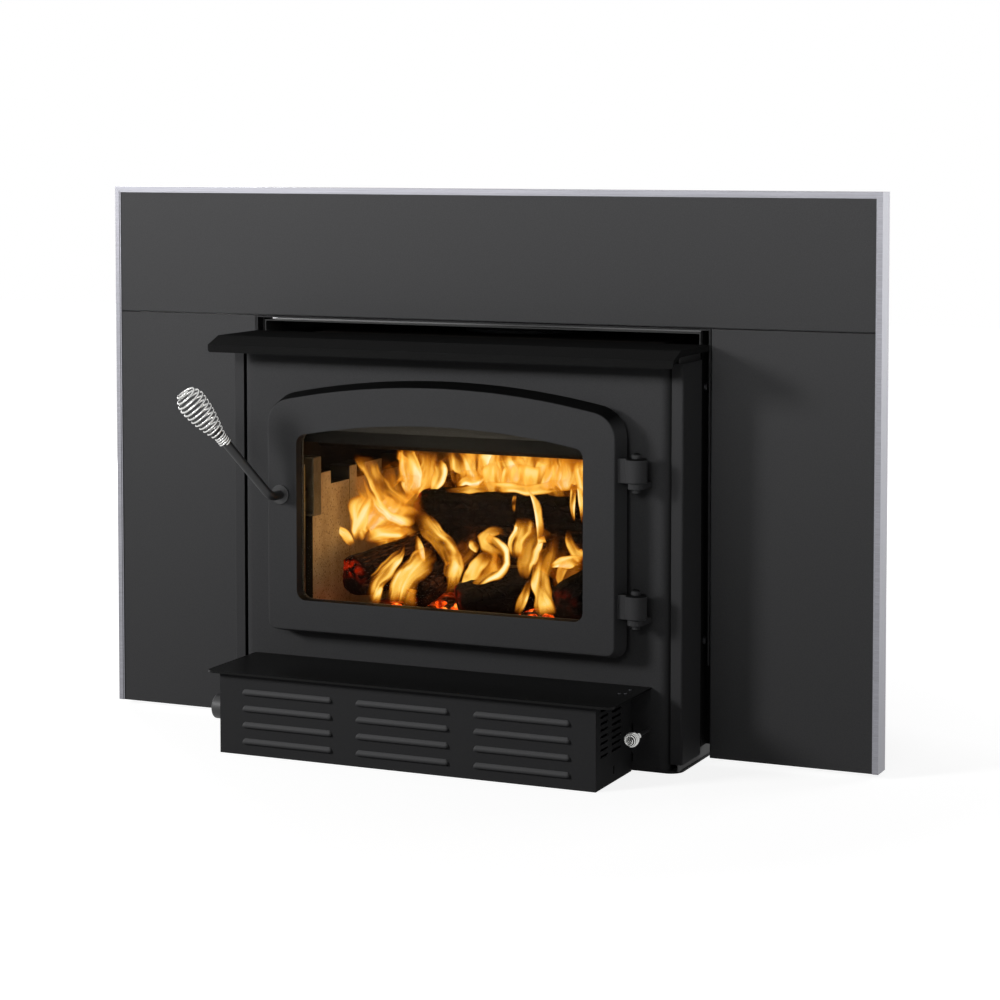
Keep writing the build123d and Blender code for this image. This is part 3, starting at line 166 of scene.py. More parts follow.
lamp("soft_box_left", (-2.2, -2.7, 1.5), (0, -0.1, 0.4), (0.7, 0.7), 56)
lamp("strip_front", (0.2, -2.9, 1.5), (0.0, 0.0, 0.95), (3.0, 0.5), 5, spread=36)
lamp("soft_box_back_left", (-2.2, 2.2, 0.9), (0, 0.2, 0.3), (1.2, 1.2), 40)
lamp("soft_box_back_right", (2.2, 2.2, 0.8), (0, 0.2, 0.3), (1.2, 1.2), 22)


# The surround's three panels: sheet steel of 1 mm, folded at the edges and powder coated satin black.
# The coat has a fine orange peel, grains of about 1.5 mm, and its gloss drifts slowly across a panel.

def dress(material, *nodes):
    """Gives CAD nodes their finish."""
    for name in nodes:
        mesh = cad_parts[name].data
        mesh.materials.clear()
        mesh.materials.append(material)


powder_coat, tree, shader = start("powder_coated_steel", {
    "Base Color": linear("#424243"), "Roughness": 0.5, "Specular IOR Level": 0.1,
})
place = add(tree, "ShaderNodeTexCoord").outputs["Object"]
peel = add(tree, "ShaderNodeTexNoise", {"Vector": place, "Scale": 1 / (1.5 * MM), "Detail": 2.0})
drift = add(tree, "ShaderNodeTexNoise", {"Vector": place, "Scale": 1 / (240 * MM), "Detail": 1.0})
gloss = add(tree, "ShaderNodeMapRange", {"Value": drift.outputs["Fac"], "To Min": 0.42, "To Max": 0.54})
tint = add(tree, "ShaderNodeValToRGB", {"Fac": peel.outputs["Fac"]}, [(0.3, "#3F3F40"), (0.7, "#454546")])
relief = add(tree, "ShaderNodeBump", {"Height": peel.outputs["Fac"], "Strength": 0.12, "Distance": 0.05 * MM})
feed(tree, shader, {
    "Base Color": tint.outputs["Color"], "Roughness": gloss.outputs["Result"],
    "Normal": relief.outputs["Normal"],
})
dress(powder_coat, "faceplate_top", "faceplate_left", "faceplate_right")


# The edge trim: extruded aluminium, mitred at the corners and satin anodised.
# Drawing leaves lines 0.8 mm wide across the wall; the anodising gives a soft, even silver grey.

anodised, tree, shader = start("anodised_aluminium", {
    "Base Color": linear("#838388"), "Metallic": 1.0, "Roughness": 0.42,
})
place = add(tree, "ShaderNodeTexCoord").outputs["Object"]
line_length, line_width = 120 * MM, 0.8 * MM
drawn = add(tree, "ShaderNodeMapping", {
    "Vector": place, "Scale": (1 / line_length, 1 / line_width, 1 / line_width),
})
lines = add(tree, "ShaderNodeTexNoise", {"Vector": drawn.outputs[0], "Scale": 1.0, "Detail": 3.0})
shade = add(tree, "ShaderNodeValToRGB", {"Fac": lines.outputs["Fac"]}, [(0.3, "#7B7B80"), (0.7, "#8B8B91")])
rough = add(tree, "ShaderNodeMapRange", {"Value": lines.outputs["Fac"], "To Min": 0.36, "To Max": 0.5})
feed(tree, shader, {"Base Color": shade.outputs["Color"], "Roughness": rough.outputs["Result"]})
dress(anodised, "trim_top", "trim_left", "trim_right")


# The strip round the opening: folded from the panels' sheet, in a plain black coat whose edges catch the
# light as a thin line. The two side angles that carry the panels lie in the gap behind it, painted dead
# black: painted shade for that dark gap.

black_strip, tree, shader = start("painted_strip", {
    "Base Color": linear("#2A2A2B"), "Roughness": 0.5, "Specular IOR Level": 0.1,
})
place = add(tree, "ShaderNodeTexCoord").outputs["Object"]
peel = add(tree, "ShaderNodeTexNoise", {"Vector": place, "Scale": 1 / (1.2 * MM), "Detail": 2.0})
tint = add(tree, "ShaderNodeValToRGB", {"Fac": peel.outputs["Fac"]}, [(0.3, "#262627"), (0.7, "#2E2E2F")])
feed(tree, shader, {"Base Color": tint.outputs["Color"]})
dress(black_strip, "opening_frame")

# The side angles' dead black is painted shade for the gap they lie in.
shade_black, tree, shader = start("shade_black_steel", {
    "Base Color": linear("#0C0C0C"), "Roughness": 0.8, "Specular IOR Level": 0.05,
})
place = add(tree, "ShaderNodeTexCoord").outputs["Object"]
runs = add(tree, "ShaderNodeTexNoise", {"Vector": place, "Scale": 1 / (15 * MM), "Detail": 3.0})
tint = add(tree, "ShaderNodeValToRGB", {"Fac": runs.outputs["Fac"]}, [(0.3, "#090909"), (0.7, "#101010")])
feed(tree, shader, {"Base Color": tint.outputs["Color"]})
dress(shade_black, "faceplate_brackets")


# Small steel parts. The air box under the floor and the clips of the window are zinc plated: dull grey with a
# faint blue, in crystals of about 4 mm.

zinc_plate, tree, shader = start("zinc_plated_steel", {
    "Base Color": linear("#8A8C90"), "Metallic": 1.0, "Roughness": 0.4,
})
place = add(tree, "ShaderNodeTexCoord").outputs["Object"]
crystals = add(tree, "ShaderNodeTexVoronoi", {"Vector": place, "Scale": 1 / (4 * MM)})
shade = add(tree, "ShaderNodeValToRGB", {"Fac": crystals.outputs["Distance"]},
            [(0.0, "#7C7E82"), (0.8, "#9C9EA2")])
rough = add(tree, "ShaderNodeMapRange",
            {"Value": crystals.outputs["Distance"], "To Min": 0.32, "To Max": 0.5})
feed(tree, shader, {"Base Color": shade.outputs["Color"], "Roughness": rough.outputs["Result"]})
dress(zinc_plate, "air_box", "glass_retainers")

# The screws and the nut have a black zinc finish: dark metal with a slightly uneven gloss.
black_zinc, tree, shader = start("black_zinc_screws", {
    "Base Color": linear("#3C3C3E"), "Metallic": 1.0, "Roughness": 0.45,
})
place = add(tree, "ShaderNodeTexCoord").outputs["Object"]
grain = add(tree, "ShaderNodeTexNoise", {"Vector": place, "Scale": 1 / (0.8 * MM), "Detail": 3.0})
rough = add(tree, "ShaderNodeMapRange", {"Value": grain.outputs["Fac"], "To Min": 0.36, "To Max": 0.55})
feed(tree, shader, {"Roughness": rough.outputs["Result"]})
dress(black_zinc, "faceplate_screws", "lip_screws", "retainer_screws", "cam_nut")


# The front of the welded body: plate steel in matt stove paint, with the fine grain of the sprayed coat.
# Heat and handling leave it a little uneven: the gloss changes over about 90 mm.

stove_paint, tree, shader = start("stove_paint", {
    "Base Color": linear("#464647"), "Roughness": 0.65, "Specular IOR Level": 0.02,
})
place = add(tree, "ShaderNodeTexCoord").outputs["Object"]
grain = add(tree, "ShaderNodeTexNoise", {"Vector": place, "Scale": 1 / (0.9 * MM), "Detail": 3.0})
patches = add(tree, "ShaderNodeTexNoise", {"Vector": place, "Scale": 1 / (90 * MM), "Detail": 2.0})
tint = add(tree, "ShaderNodeValToRGB", {"Fac": grain.outputs["Fac"]}, [(0.3, "#424243"), (0.7, "#4A4A4B")])
gloss = add(tree, "ShaderNodeMapRange", {"Value": patches.outputs["Fac"], "To Min": 0.52, "To Max": 0.66})
relief = add(tree, "ShaderNodeBump", {"Height": grain.outputs["Fac"], "Strength": 0.2, "Distance": 0.06 * MM})
feed(tree, shader, {
    "Base Color": tint.outputs["Color"], "Roughness": gloss.outputs["Result"],
    "Normal": relief.outputs["Normal"],
})
dress(stove_paint, "front_plate", "cheek_left", "cheek_right", "base_plate", "hinge_brackets")

# The hood's paint is set darker and dead flat: painted shade for the little light that reaches it. The door
# seat and the air wash deflector take the same paint.
shade_dark_paint, tree, shader = start("shade_dark_stove_paint", {
    "Base Color": linear("#1E1E1E"), "Roughness": 0.85, "Specular IOR Level": 0.02,
})
place = add(tree, "ShaderNodeTexCoord").outputs["Object"]
grain = add(tree, "ShaderNodeTexNoise", {"Vector": place, "Scale": 1 / (0.9 * MM), "Detail": 3.0})
tint = add(tree, "ShaderNodeValToRGB", {"Fac": grain.outputs["Fac"]}, [(0.3, "#1B1B1B"), (0.7, "#222222")])
relief = add(tree, "ShaderNodeBump", {"Height": grain.outputs["Fac"], "Strength": 0.2, "Distance": 0.06 * MM})
# Faces that look straight up, such as its flat top, are painted near black: painted shade where little light
# falls from above, which leaves the slope in front a shade lighter.
way = add(tree, "ShaderNodeSeparateXYZ", {"Vector": add(tree, "ShaderNodeNewGeometry").outputs["Normal"]})
top_shade = add(tree, "ShaderNodeMapRange", {"Value": way.outputs["Z"], "From Min": 0.95, "From Max": 0.99})
tint = add(tree, "ShaderNodeMix",
           {0: top_shade.outputs["Result"], 6: tint.outputs["Color"], 7: linear("#0B0B0B")}, data_type="RGBA")
feed(tree, shader, {"Base Color": tint.outputs[2], "Normal": relief.outputs["Normal"]})
dress(shade_dark_paint, "hot_air_hood", "door_seat", "air_wash_deflector")


# The shell behind the wall: welded plate steel under a dull grey primer, with faint rolling marks of about
# 60 mm. Its first 60 mm at the front, which show through the gap over the hood, are painted near black:
# painted shade for that dark gap.

primer, tree, shader = start("primed_plate", {
    "Base Color": linear("#333436"), "Roughness": 0.7,
})
place = add(tree, "ShaderNodeTexCoord").outputs["Object"]
rolling = add(tree, "ShaderNodeTexNoise", {"Vector": place, "Scale": 1 / (60 * MM), "Detail": 6.0})
tint = add(tree, "ShaderNodeValToRGB", {"Fac": rolling.outputs["Fac"]},
           [(0.35, "#2C2D30"), (0.65, "#3D3D3F")])
relief = add(tree, "ShaderNodeBump",
             {"Height": rolling.outputs["Fac"], "Strength": 0.1, "Distance": 0.2 * MM})
# Painted shade: the primer turns near black towards its front edge, where it lies in the dark gap over the
# hood.
depth = add(tree, "ShaderNodeSeparateXYZ", {"Vector": add(tree, "ShaderNodeNewGeometry").outputs["Position"]})
front_gap_shade = add(tree, "ShaderNodeMapRange", {"Value": depth.outputs["Y"], "From Min": 0.02, "From Max": 0.06})
tint = add(tree, "ShaderNodeMix",
           {0: front_gap_shade.outputs["Result"], 6: linear("#0C0C0C"), 7: tint.outputs["Color"]}, data_type="RGBA")
feed(tree, shader, {"Base Color": tint.outputs[2], "Normal": relief.outputs["Normal"]})
dress(primer, "jacket_left", "jacket_right", "jacket_back", "jacket_top", "firebox_floor", "flue_collar")


# The firebox inside: welded plate and drilled air tubes under a coat of soot, dull black with browner patches
# of 30 mm. The latch pocket stands nearer the fire, and its paint is scorched to a brownish grey.

soot, tree, shader = start("sooted_plate", {
    "Base Color": linear("#0E0B09"), "Roughness": 0.95, "Specular IOR Level": 0.1,
})
place = add(tree, "ShaderNodeTexCoord").outputs["Object"]
patches = add(tree, "ShaderNodeTexNoise", {"Vector": place, "Scale": 1 / (30 * MM), "Detail": 5.0})
tint = add(tree, "ShaderNodeValToRGB", {"Fac": patches.outputs["Fac"]}, [(0.35, "#070605"), (0.7, "#1C1612")])
feed(tree, shader, {"Base Color": tint.outputs["Color"]})
dress(soot, "firebox_left", "firebox_right", "firebox_back", "firebox_top", "air_tubes")

scorched, tree, shader = start("scorched_paint", {
    "Base Color": linear("#4E4436"), "Roughness": 0.6,
})
place = add(tree, "ShaderNodeTexCoord").outputs["Object"]
patches = add(tree, "ShaderNodeTexNoise", {"Vector": place, "Scale": 1 / (14 * MM), "Detail": 4.0})
tint = add(tree, "ShaderNodeValToRGB", {"Fac": patches.outputs["Fac"]}, [(0.3, "#43392C"), (0.7, "#5C4F3B")])
feed(tree, shader, {"Base Color": tint.outputs["Color"]})
dress(scorched, "latch_guard")


# The lining: pressed firebrick stood against the walls, sandy beige with darker grit in cells of 4.5 mm.
# On the side bricks, the faces that look along the wall, as in the notches of their tops, are made near
# black.

bricks = (("firebrick", 0.0, ("floor_bricks", "back_bricks")),
          ("firebrick_at_the_sides", 0.95, ("side_bricks_left", "side_bricks_right")))
for name, along_wall_darkening, pieces in bricks:
    firebrick, tree, shader = start(name, {
        "Base Color": linear("#A08A68"), "Roughness": 0.92, "Specular IOR Level": 0.2,
    })
    place = add(tree, "ShaderNodeTexCoord").outputs["Object"]
    clouds = add(tree, "ShaderNodeTexNoise", {"Vector": place, "Scale": 1 / (35 * MM), "Detail": 5.0})
    grit = add(tree, "ShaderNodeTexVoronoi", {"Vector": place, "Scale": 1 / (4.5 * MM)})
    clear_of_grit = add(tree, "ShaderNodeMapRange", {
        "Value": grit.outputs["Distance"], "From Min": 0.1, "From Max": 0.36,
    })
    clay = add(tree, "ShaderNodeValToRGB", {"Fac": clouds.outputs["Fac"]},
               [(0.3, "#8C7857"), (0.7, "#AC9A78")])
    speckled = add(tree, "ShaderNodeMix", {
        0: clear_of_grit.outputs["Result"], 6: linear("#6E5A3E"), 7: clay.outputs["Color"],
    }, data_type="RGBA")
    way = add(tree, "ShaderNodeSeparateXYZ", {"Vector": add(tree, "ShaderNodeNewGeometry").outputs["Normal"]})
    facing = add(tree, "ShaderNodeMath", {0: way.outputs["X"]}, operation="ABSOLUTE")
    along_wall_dark = add(tree, "ShaderNodeMapRange", {
        "Value": facing.outputs[0], "From Min": 0.3, "From Max": 0.7, "To Min": along_wall_darkening, "To Max": 0.0,
    })
    tint = add(tree, "ShaderNodeMix", {
        0: along_wall_dark.outputs["Result"], 6: speckled.outputs[2], 7: linear("#0D0A08"),
    }, data_type="RGBA")
    relief = add(tree, "ShaderNodeBump",
                 {"Height": grit.outputs["Distance"], "Strength": 0.35, "Distance": 0.5 * MM})
    feed(tree, shader, {"Base Color": tint.outputs[2], "Normal": relief.outputs["Normal"]})
    dress(firebrick, *pieces)

# The boards of the baffle above are pressed ceramic fibre: a soft felt of about 6 mm, grey with soot.
fibre_board, tree, shader = start("ceramic_fibre_board", {
    "Base Color": linear("#2C2722"), "Roughness": 0.95,
})
place = add(tree, "ShaderNodeTexCoord").outputs["Object"]
felt = add(tree, "ShaderNodeTexNoise", {
    "Vector": place, "Scale": 1 / (6 * MM), "Detail": 8.0, "Roughness": 0.7,
})
tint = add(tree, "ShaderNodeValToRGB", {"Fac": felt.outputs["Fac"]}, [(0.35, "#1B1714"), (0.65, "#38322B")])
relief = add(tree, "ShaderNodeBump", {"Height": felt.outputs["Fac"], "Strength": 0.3, "Distance": 0.5 * MM})
feed(tree, shader, {"Base Color": tint.outputs["Color"], "Normal": relief.outputs["Normal"]})
dress(fibre_board, "baffle_board")


# The door: one grey iron casting in matt stove paint, its sand-cast skin felt as grain of about 1 mm.
# The hinge pins and their knuckles carry the same paint.

cast_iron, tree, shader = start("painted_cast_iron", {
    "Base Color": linear("#424243"), "Roughness": 0.6, "Specular IOR Level": 0.06,
})
place = add(tree, "ShaderNodeTexCoord").outputs["Object"]
sand = add(tree, "ShaderNodeTexNoise", {
    "Vector": place, "Scale": 1 / (1.1 * MM), "Detail": 4.0, "Roughness": 0.6,
})
patches = add(tree, "ShaderNodeTexNoise", {"Vector": place, "Scale": 1 / (70 * MM), "Detail": 2.0})
tint = add(tree, "ShaderNodeValToRGB", {"Fac": sand.outputs["Fac"]}, [(0.3, "#3E3E3F"), (0.7, "#464647")])
gloss = add(tree, "ShaderNodeMapRange", {"Value": patches.outputs["Fac"], "To Min": 0.5, "To Max": 0.64})
relief = add(tree, "ShaderNodeBump", {"Height": sand.outputs["Fac"], "Strength": 0.3, "Distance": 0.1 * MM})
# Faces of the casting that look up, as its upper edge under the hood, are painted near black: painted shade
# from the hood above.
way = add(tree, "ShaderNodeSeparateXYZ", {"Vector": add(tree, "ShaderNodeNewGeometry").outputs["Normal"]})
char_and_shade = add(tree, "ShaderNodeMapRange", {"Value": way.outputs["Z"], "From Min": 0.3, "From Max": 0.7})
tint = add(tree, "ShaderNodeMix",
           {0: char_and_shade.outputs["Result"], 6: tint.outputs["Color"], 7: linear("#0A0A0A")}, data_type="RGBA")
feed(tree, shader, {
    "Base Color": tint.outputs[2], "Roughness": gloss.outputs["Result"], "Normal": relief.outputs["Normal"],
})
dress(cast_iron, "door_frame", "hinge_pins", "latch_cam")


# The window: a rolled pane of clear ceramic glass, 5 mm thick and faintly amber, held on a flat gasket by
# zinc plated clips. Its shine is low, so that the fire shows through it without a haze.

ceramic_glass, tree, shader = start("ceramic_glass", {
    "Base Color": linear("#FBF4E6"), "Roughness": 0.0, "IOR": 1.06, "Transmission Weight": 1.0,
})
dress(ceramic_glass, "door_glass")


# The two gaskets of knitted glass fibre, charcoal grey: a fat rope glued in the door's groove, and a flat
# tape behind the pane. Each runs round the middle of its ring, with crossing strands pressed into its skin.

knitted_fibre, tree, shader = start("knitted_glass_fibre", {
    "Base Color": linear("#3A3A3A"), "Roughness": 0.95,
})
place = add(tree, "ShaderNodeTexCoord").outputs["Object"]
loops = add(tree, "ShaderNodeTexVoronoi", {"Vector": place, "Scale": 1 / (2.5 * MM), "Randomness": 0.35})
# The hollows between the loops are painted darker: painted shade in the creases of the knit.
tint = add(tree, "ShaderNodeValToRGB", {"Fac": loops.outputs["Distance"]},
           [(0.1, "#4A4A4A"), (0.7, "#1E1E1E")])
relief = add(tree, "ShaderNodeBump", {
    "Height": loops.outputs["Distance"], "Strength": 0.6, "Distance": 0.8 * MM,
}, invert=True)
feed(tree, shader, {"Base Color": tint.outputs["Color"], "Normal": relief.outputs["Normal"]})


def skin(rows, columns, stride, first=0, flipped=False, closed=False):
    """The faces between rows of points, each of them stride points long, from the first point on."""
    faces = []
    for row in range(rows):
        here = first + row * stride
        above = first + (0 if closed and row == rows - 1 else row + 1) * stride
        for column in range(columns):
            after = (column + 1) % stride
            face = (here + column, here + after, above + after, above + column)
            faces.append((face[0], *face[:0:-1]) if flipped else face)
    return faces


def mesh_piece(name, points, faces, material, values=None, body="root"):
    """A smooth mesh that rides on the body, with a value at each point for its material to read."""
    mesh = bpy.data.meshes.new(name)
    mesh.from_pydata(points, [], faces)
    mesh.polygons.foreach_set("use_smooth", [True] * len(faces))
    mesh.materials.append(material)
    for label, numbers in (values or {}).items():
        mesh.attributes.new(label, "FLOAT", "POINT").data.foreach_set("value", numbers)
    made = bpy.data.objects.new(name, mesh)
    bpy.context.scene.collection.objects.link(made)
    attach(made, body)
    return made


def middle_of_ring(node):
    """The middle line of a CAD ring that stands along the wall, half its width and half its depth."""
    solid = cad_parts[node]
    low, high = (Vector(corner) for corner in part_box(node))
    centre = (low + high) / 2
    walls = BVHTree.FromPolygons([solid.matrix_world @ v.co for v in solid.data.vertices],
                                 [tuple(p.vertices) for p in solid.data.polygons])
    looks, past_wall = 720, 0.1
    line, halves = [], []
    for look in range(looks):
        turn = 2 * math.pi * look / looks
        way = Vector((math.cos(turn), 0, math.sin(turn)))
        inner, normal = walls.ray_cast(centre, way)[:2]
        outer = walls.ray_cast(inner + way * past_wall * MM, way)[0]
        line.append((inner + outer) / 2)
        halves.append(abs((outer - inner).dot(normal)) / 2)
    return line, min(halves), (high.y - low.y) / 2


def knitted_ring(name, node, stitch):
    """A closed rope in the space of a CAD ring, with stitches of about that length."""
    line, half_width, half_depth = middle_of_ring(node)
    looks = len(line)
    lengths = [0.0]
    for look in range(looks):
        lengths.append(lengths[-1] + (line[(look + 1) % looks] - line[look]).length)
    stitches = round(lengths[-1] / stitch)
    steps_each, spokes = 6, 24
    steps = stitches * steps_each
    fullness, pressed_in, squareness, strands_each_way = 0.98, 0.16, 0.7, 3
    points, look = [], 0
    for step in range(steps):
        here = lengths[-1] * step / steps
        while lengths[look + 1] < here:
            look += 1
        f = (here - lengths[look]) / (lengths[look + 1] - lengths[look])
        spot = line[look].lerp(line[(look + 1) % looks], f)
        side = (line[(look + 2) % looks] - line[look - 1]).cross(Vector((0, 1, 0))).normalized()
        beat = math.pi * stitches * step / steps
        for spoke in range(spokes):
            turn = 2 * math.pi * spoke / spokes
            strand = strands_each_way * turn
            raised = max(abs(math.sin(strand + beat)), abs(math.sin(strand - beat)))
            reach = fullness - pressed_in * (1 - raised)
            c, d = math.cos(turn), math.sin(turn)
            points.append(spot + side * math.copysign(abs(c) ** squareness, c) * half_width * reach
                          + Vector((0, math.copysign(abs(d) ** squareness, d) * half_depth * reach, 0)))
    faces = skin(steps, spokes, spokes, flipped=True, closed=True)
    made = mesh_piece(name, points, faces, knitted_fibre, body="door")
    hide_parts(node)


knitted_ring("door_rope", "door_gasket", 6 * MM)
knitted_ring("glass_tape", "glass_gasket", 4 * MM)


# The handle: a bent steel rod in black paint, with a spring grip of bright nickel plated wire wound on it.
# The same wire makes the small grip of the air control.

black_rod, tree, shader = start("black_painted_rod", {
    "Base Color": linear("#1A1A1B"), "Roughness": 0.45,
})
place = add(tree, "ShaderNodeTexCoord").outputs["Object"]
grain = add(tree, "ShaderNodeTexNoise", {"Vector": place, "Scale": 1 / (0.7 * MM), "Detail": 2.0})
rough = add(tree, "ShaderNodeMapRange", {"Value": grain.outputs["Fac"], "To Min": 0.38, "To Max": 0.52})
relief = add(tree, "ShaderNodeBump",
             {"Height": grain.outputs["Fac"], "Strength": 0.15, "Distance": 0.05 * MM})
feed(tree, shader, {"Roughness": rough.outputs["Result"], "Normal": relief.outputs["Normal"]})
dress(black_rod, "handle_rod", "handle_bushing", "air_rod", "damper_plate", "blower_shaft")

# Drawn wire, plated bright: its gloss changes along it every few millimetres.
nickel, tree, shader = start("nickel_plated_wire", {
    "Base Color": linear("#CFCFCD"), "Metallic": 1.0, "Roughness": 0.16,
})
place = add(tree, "ShaderNodeTexCoord").outputs["Object"]
drawn = add(tree, "ShaderNodeTexNoise", {"Vector": place, "Scale": 1 / (3 * MM), "Detail": 3.0})
rough = add(tree, "ShaderNodeMapRange", {"Value": drawn.outputs["Fac"], "To Min": 0.12, "To Max": 0.26})
feed(tree, shader, {"Roughness": rough.outputs["Result"]})
dress(nickel, "handle_coil", "air_coil")


# The ash lip and the fan housing under it: folded sheet steel, screwed to the front plate. The lip's paint is
# blacker and glossier than the body's, and the housing's is flat, with a sprayed grain of 0.9 mm.

lip_paint, tree, shader = start("glossy_stove_paint", {
    "Base Color": linear("#111111"), "Roughness": 0.26, "Specular IOR Level": 0.1,
})
place = add(tree, "ShaderNodeTexCoord").outputs["Object"]
grain = add(tree, "ShaderNodeTexNoise", {"Vector": place, "Scale": 1 / (1.0 * MM), "Detail": 2.0})
gloss = add(tree, "ShaderNodeMapRange", {"Value": grain.outputs["Fac"], "To Min": 0.26, "To Max": 0.4})
relief = add(tree, "ShaderNodeBump", {"Height": grain.outputs["Fac"], "Strength": 0.2, "Distance": 0.05 * MM})
feed(tree, shader, {"Roughness": gloss.outputs["Result"], "Normal": relief.outputs["Normal"]})
dress(lip_paint, "ash_lip")

housing_paint, tree, shader = start("housing_paint", {
    "Base Color": linear("#3D3D3E"), "Roughness": 0.6, "Specular IOR Level": 0.01,
})
place = add(tree, "ShaderNodeTexCoord").outputs["Object"]
grain = add(tree, "ShaderNodeTexNoise", {"Vector": place, "Scale": 1 / (0.9 * MM), "Detail": 3.0})
tint = add(tree, "ShaderNodeValToRGB", {"Fac": grain.outputs["Fac"]}, [(0.3, "#39393A"), (0.7, "#414142")])
relief = add(tree, "ShaderNodeBump", {"Height": grain.outputs["Fac"], "Strength": 0.2, "Distance": 0.05 * MM})
# The pressed louvres stand proud; faces that look upwards, their upper curves among them, are painted a
# lighter grey: a painted highlight where they face the light.
way = add(tree, "ShaderNodeSeparateXYZ", {"Vector": add(tree, "ShaderNodeNewGeometry").outputs["Normal"]})
louvre_highlight = add(tree, "ShaderNodeMapRange", {"Value": way.outputs["Z"], "From Min": 0.1, "From Max": 0.5})
tint = add(tree, "ShaderNodeMix",
           {0: louvre_highlight.outputs["Result"], 6: tint.outputs["Color"], 7: linear("#646465")}, data_type="RGBA")
feed(tree, shader, {"Base Color": tint.outputs[2], "Normal": relief.outputs["Normal"]})
dress(housing_paint, "blower_housing", "blower_scrolls", "blower_motor")

# The fan wheels are stamped from bare mill finish aluminium, dull silver with a 2 mm mottle.
mill_aluminium, tree, shader = start("mill_finish_aluminium", {
    "Base Color": linear("#B9BABC"), "Metallic": 1.0, "Roughness": 0.35,
})
place = add(tree, "ShaderNodeTexCoord").outputs["Object"]
grain = add(tree, "ShaderNodeTexNoise", {"Vector": place, "Scale": 1 / (2 * MM), "Detail": 3.0})
rough = add(tree, "ShaderNodeMapRange", {"Value": grain.outputs["Fac"], "To Min": 0.28, "To Max": 0.45})
feed(tree, shader, {"Roughness": rough.outputs["Result"]})
dress(mill_aluminium, "fan_wheels")


# The fan speed control: a moulded black phenolic body and knob, set in the housing's left end.
# The mould's spark-eroded walls give it a fine matt grain of 0.5 mm.

black_plastic, tree, shader = start("moulded_phenolic", {
    "Base Color": linear("#18181A"), "Roughness": 0.5, "IOR": 1.6,
})
place = add(tree, "ShaderNodeTexCoord").outputs["Object"]
grain = add(tree, "ShaderNodeTexNoise", {"Vector": place, "Scale": 1 / (0.5 * MM), "Detail": 2.0})
relief = add(tree, "ShaderNodeBump", {"Height": grain.outputs["Fac"], "Strength": 0.2, "Distance": 0.05 * MM})
feed(tree, shader, {"Normal": relief.outputs["Normal"]})
dress(black_plastic, "speed_control", "speed_knob")


# The logs: firewood split by axe, charred black over brown bark, with rims that glow at the ends.
# They lie on the floor bricks in the ash, the upper ones across the lower ones.

charred_wood, tree, shader = start("charred_wood", {
    "Base Color": linear("#2A1C12"), "Roughness": 0.85, "Specular IOR Level": 0.1,
})
char = add(tree, "ShaderNodeAttribute", attribute_name="char")
glow = add(tree, "ShaderNodeAttribute", attribute_name="glow")
along = add(tree, "ShaderNodeAttribute", attribute_name="along")
around = add(tree, "ShaderNodeAttribute", attribute_name="around")
unrolled = add(tree, "ShaderNodeCombineXYZ", {"X": along.outputs["Fac"], "Y": around.outputs["Fac"]})
bark_length, bark_width = 26 * MM, 4 * MM
stretched = add(tree, "ShaderNodeMapping", {
    "Vector": unrolled.outputs[0], "Scale": (1 / bark_length, 1 / bark_width, 1.0),
})
fibres = add(tree, "ShaderNodeTexNoise", {"Vector": stretched.outputs[0], "Scale": 1.0, "Detail": 6.0,
                                          "Roughness": 0.65, "Distortion": 0.6})
place = add(tree, "ShaderNodeTexCoord").outputs["Object"]
scorch = add(tree, "ShaderNodeTexNoise", {"Vector": place, "Scale": 1 / (22 * MM), "Detail": 4.0})
bark = add(tree, "ShaderNodeValToRGB", {"Fac": fibres.outputs["Fac"]},
           [(0.36, "#070302"), (0.5, "#2E190F"), (0.62, "#5E3923"), (0.76, "#946A48")])
coal = add(tree, "ShaderNodeValToRGB", {"Fac": fibres.outputs["Fac"]},
           [(0.4, "#020101"), (0.58, "#140D0A"), (0.76, "#382A20")])
char_and_shade = add(tree, "ShaderNodeMath", {0: char.outputs["Fac"], 1: scorch.outputs["Fac"]}, operation="ADD")
char_and_shade = add(tree, "ShaderNodeMapRange", {"Value": char_and_shade.outputs[0], "From Min": 0.6, "From Max": 1.0})
wood = add(tree, "ShaderNodeMix",
           {0: char_and_shade.outputs["Result"], 6: bark.outputs["Color"], 7: coal.outputs["Color"]}, data_type="RGBA")
# Char breaks up across the grain into small blocks, with black cracks between them.
block_length, block_width = 13 * MM, 8 * MM
blocks = add(tree, "ShaderNodeMapping", {
    "Vector": unrolled.outputs[0], "Scale": (1 / block_length, 1 / block_width, 1.0),
})
cracks = add(tree, "ShaderNodeTexVoronoi", {"Vector": blocks.outputs[0], "Scale": 1.0},
             feature="DISTANCE_TO_EDGE")
whole = add(tree, "ShaderNodeMapRange", {
    "Value": cracks.outputs["Distance"], "From Min": 0.01, "From Max": 0.13, "To Min": 0.12, "To Max": 1.0,
})
wood = add(tree, "ShaderNodeMix", {0: whole.outputs["Result"], 6: linear("#020101"), 7: wood.outputs[2]},
           data_type="RGBA")
height = add(tree, "ShaderNodeMath", {0: fibres.outputs["Fac"], 1: whole.outputs["Result"]}, operation="ADD")
smoulder = add(tree, "ShaderNodeTexNoise", {"Vector": place, "Scale": 1 / (12 * MM), "Detail": 4.0})
spots = add(tree, "ShaderNodeMapRange",
            {"Value": smoulder.outputs["Fac"], "From Min": 0.46, "From Max": 0.66})
hot = add(tree, "ShaderNodeMath", {0: spots.outputs["Result"], 1: glow.outputs["Fac"]}, operation="MULTIPLY")
fire_colour = add(tree, "ShaderNodeValToRGB", {"Fac": hot.outputs[0]},
                  [(0.0, "#000000"), (0.25, "#8A1A03"), (0.6, "#F2520C"), (1.0, "#FFC05A")])
relief = add(tree, "ShaderNodeBump", {"Height": height.outputs[0], "Strength": 1.0, "Distance": 3 * MM})
feed(tree, shader, {
    "Base Color": wood.outputs[2], "Emission Color": fire_colour.outputs["Color"], "Emission Strength": 1.6,
    "Normal": relief.outputs["Normal"],
})


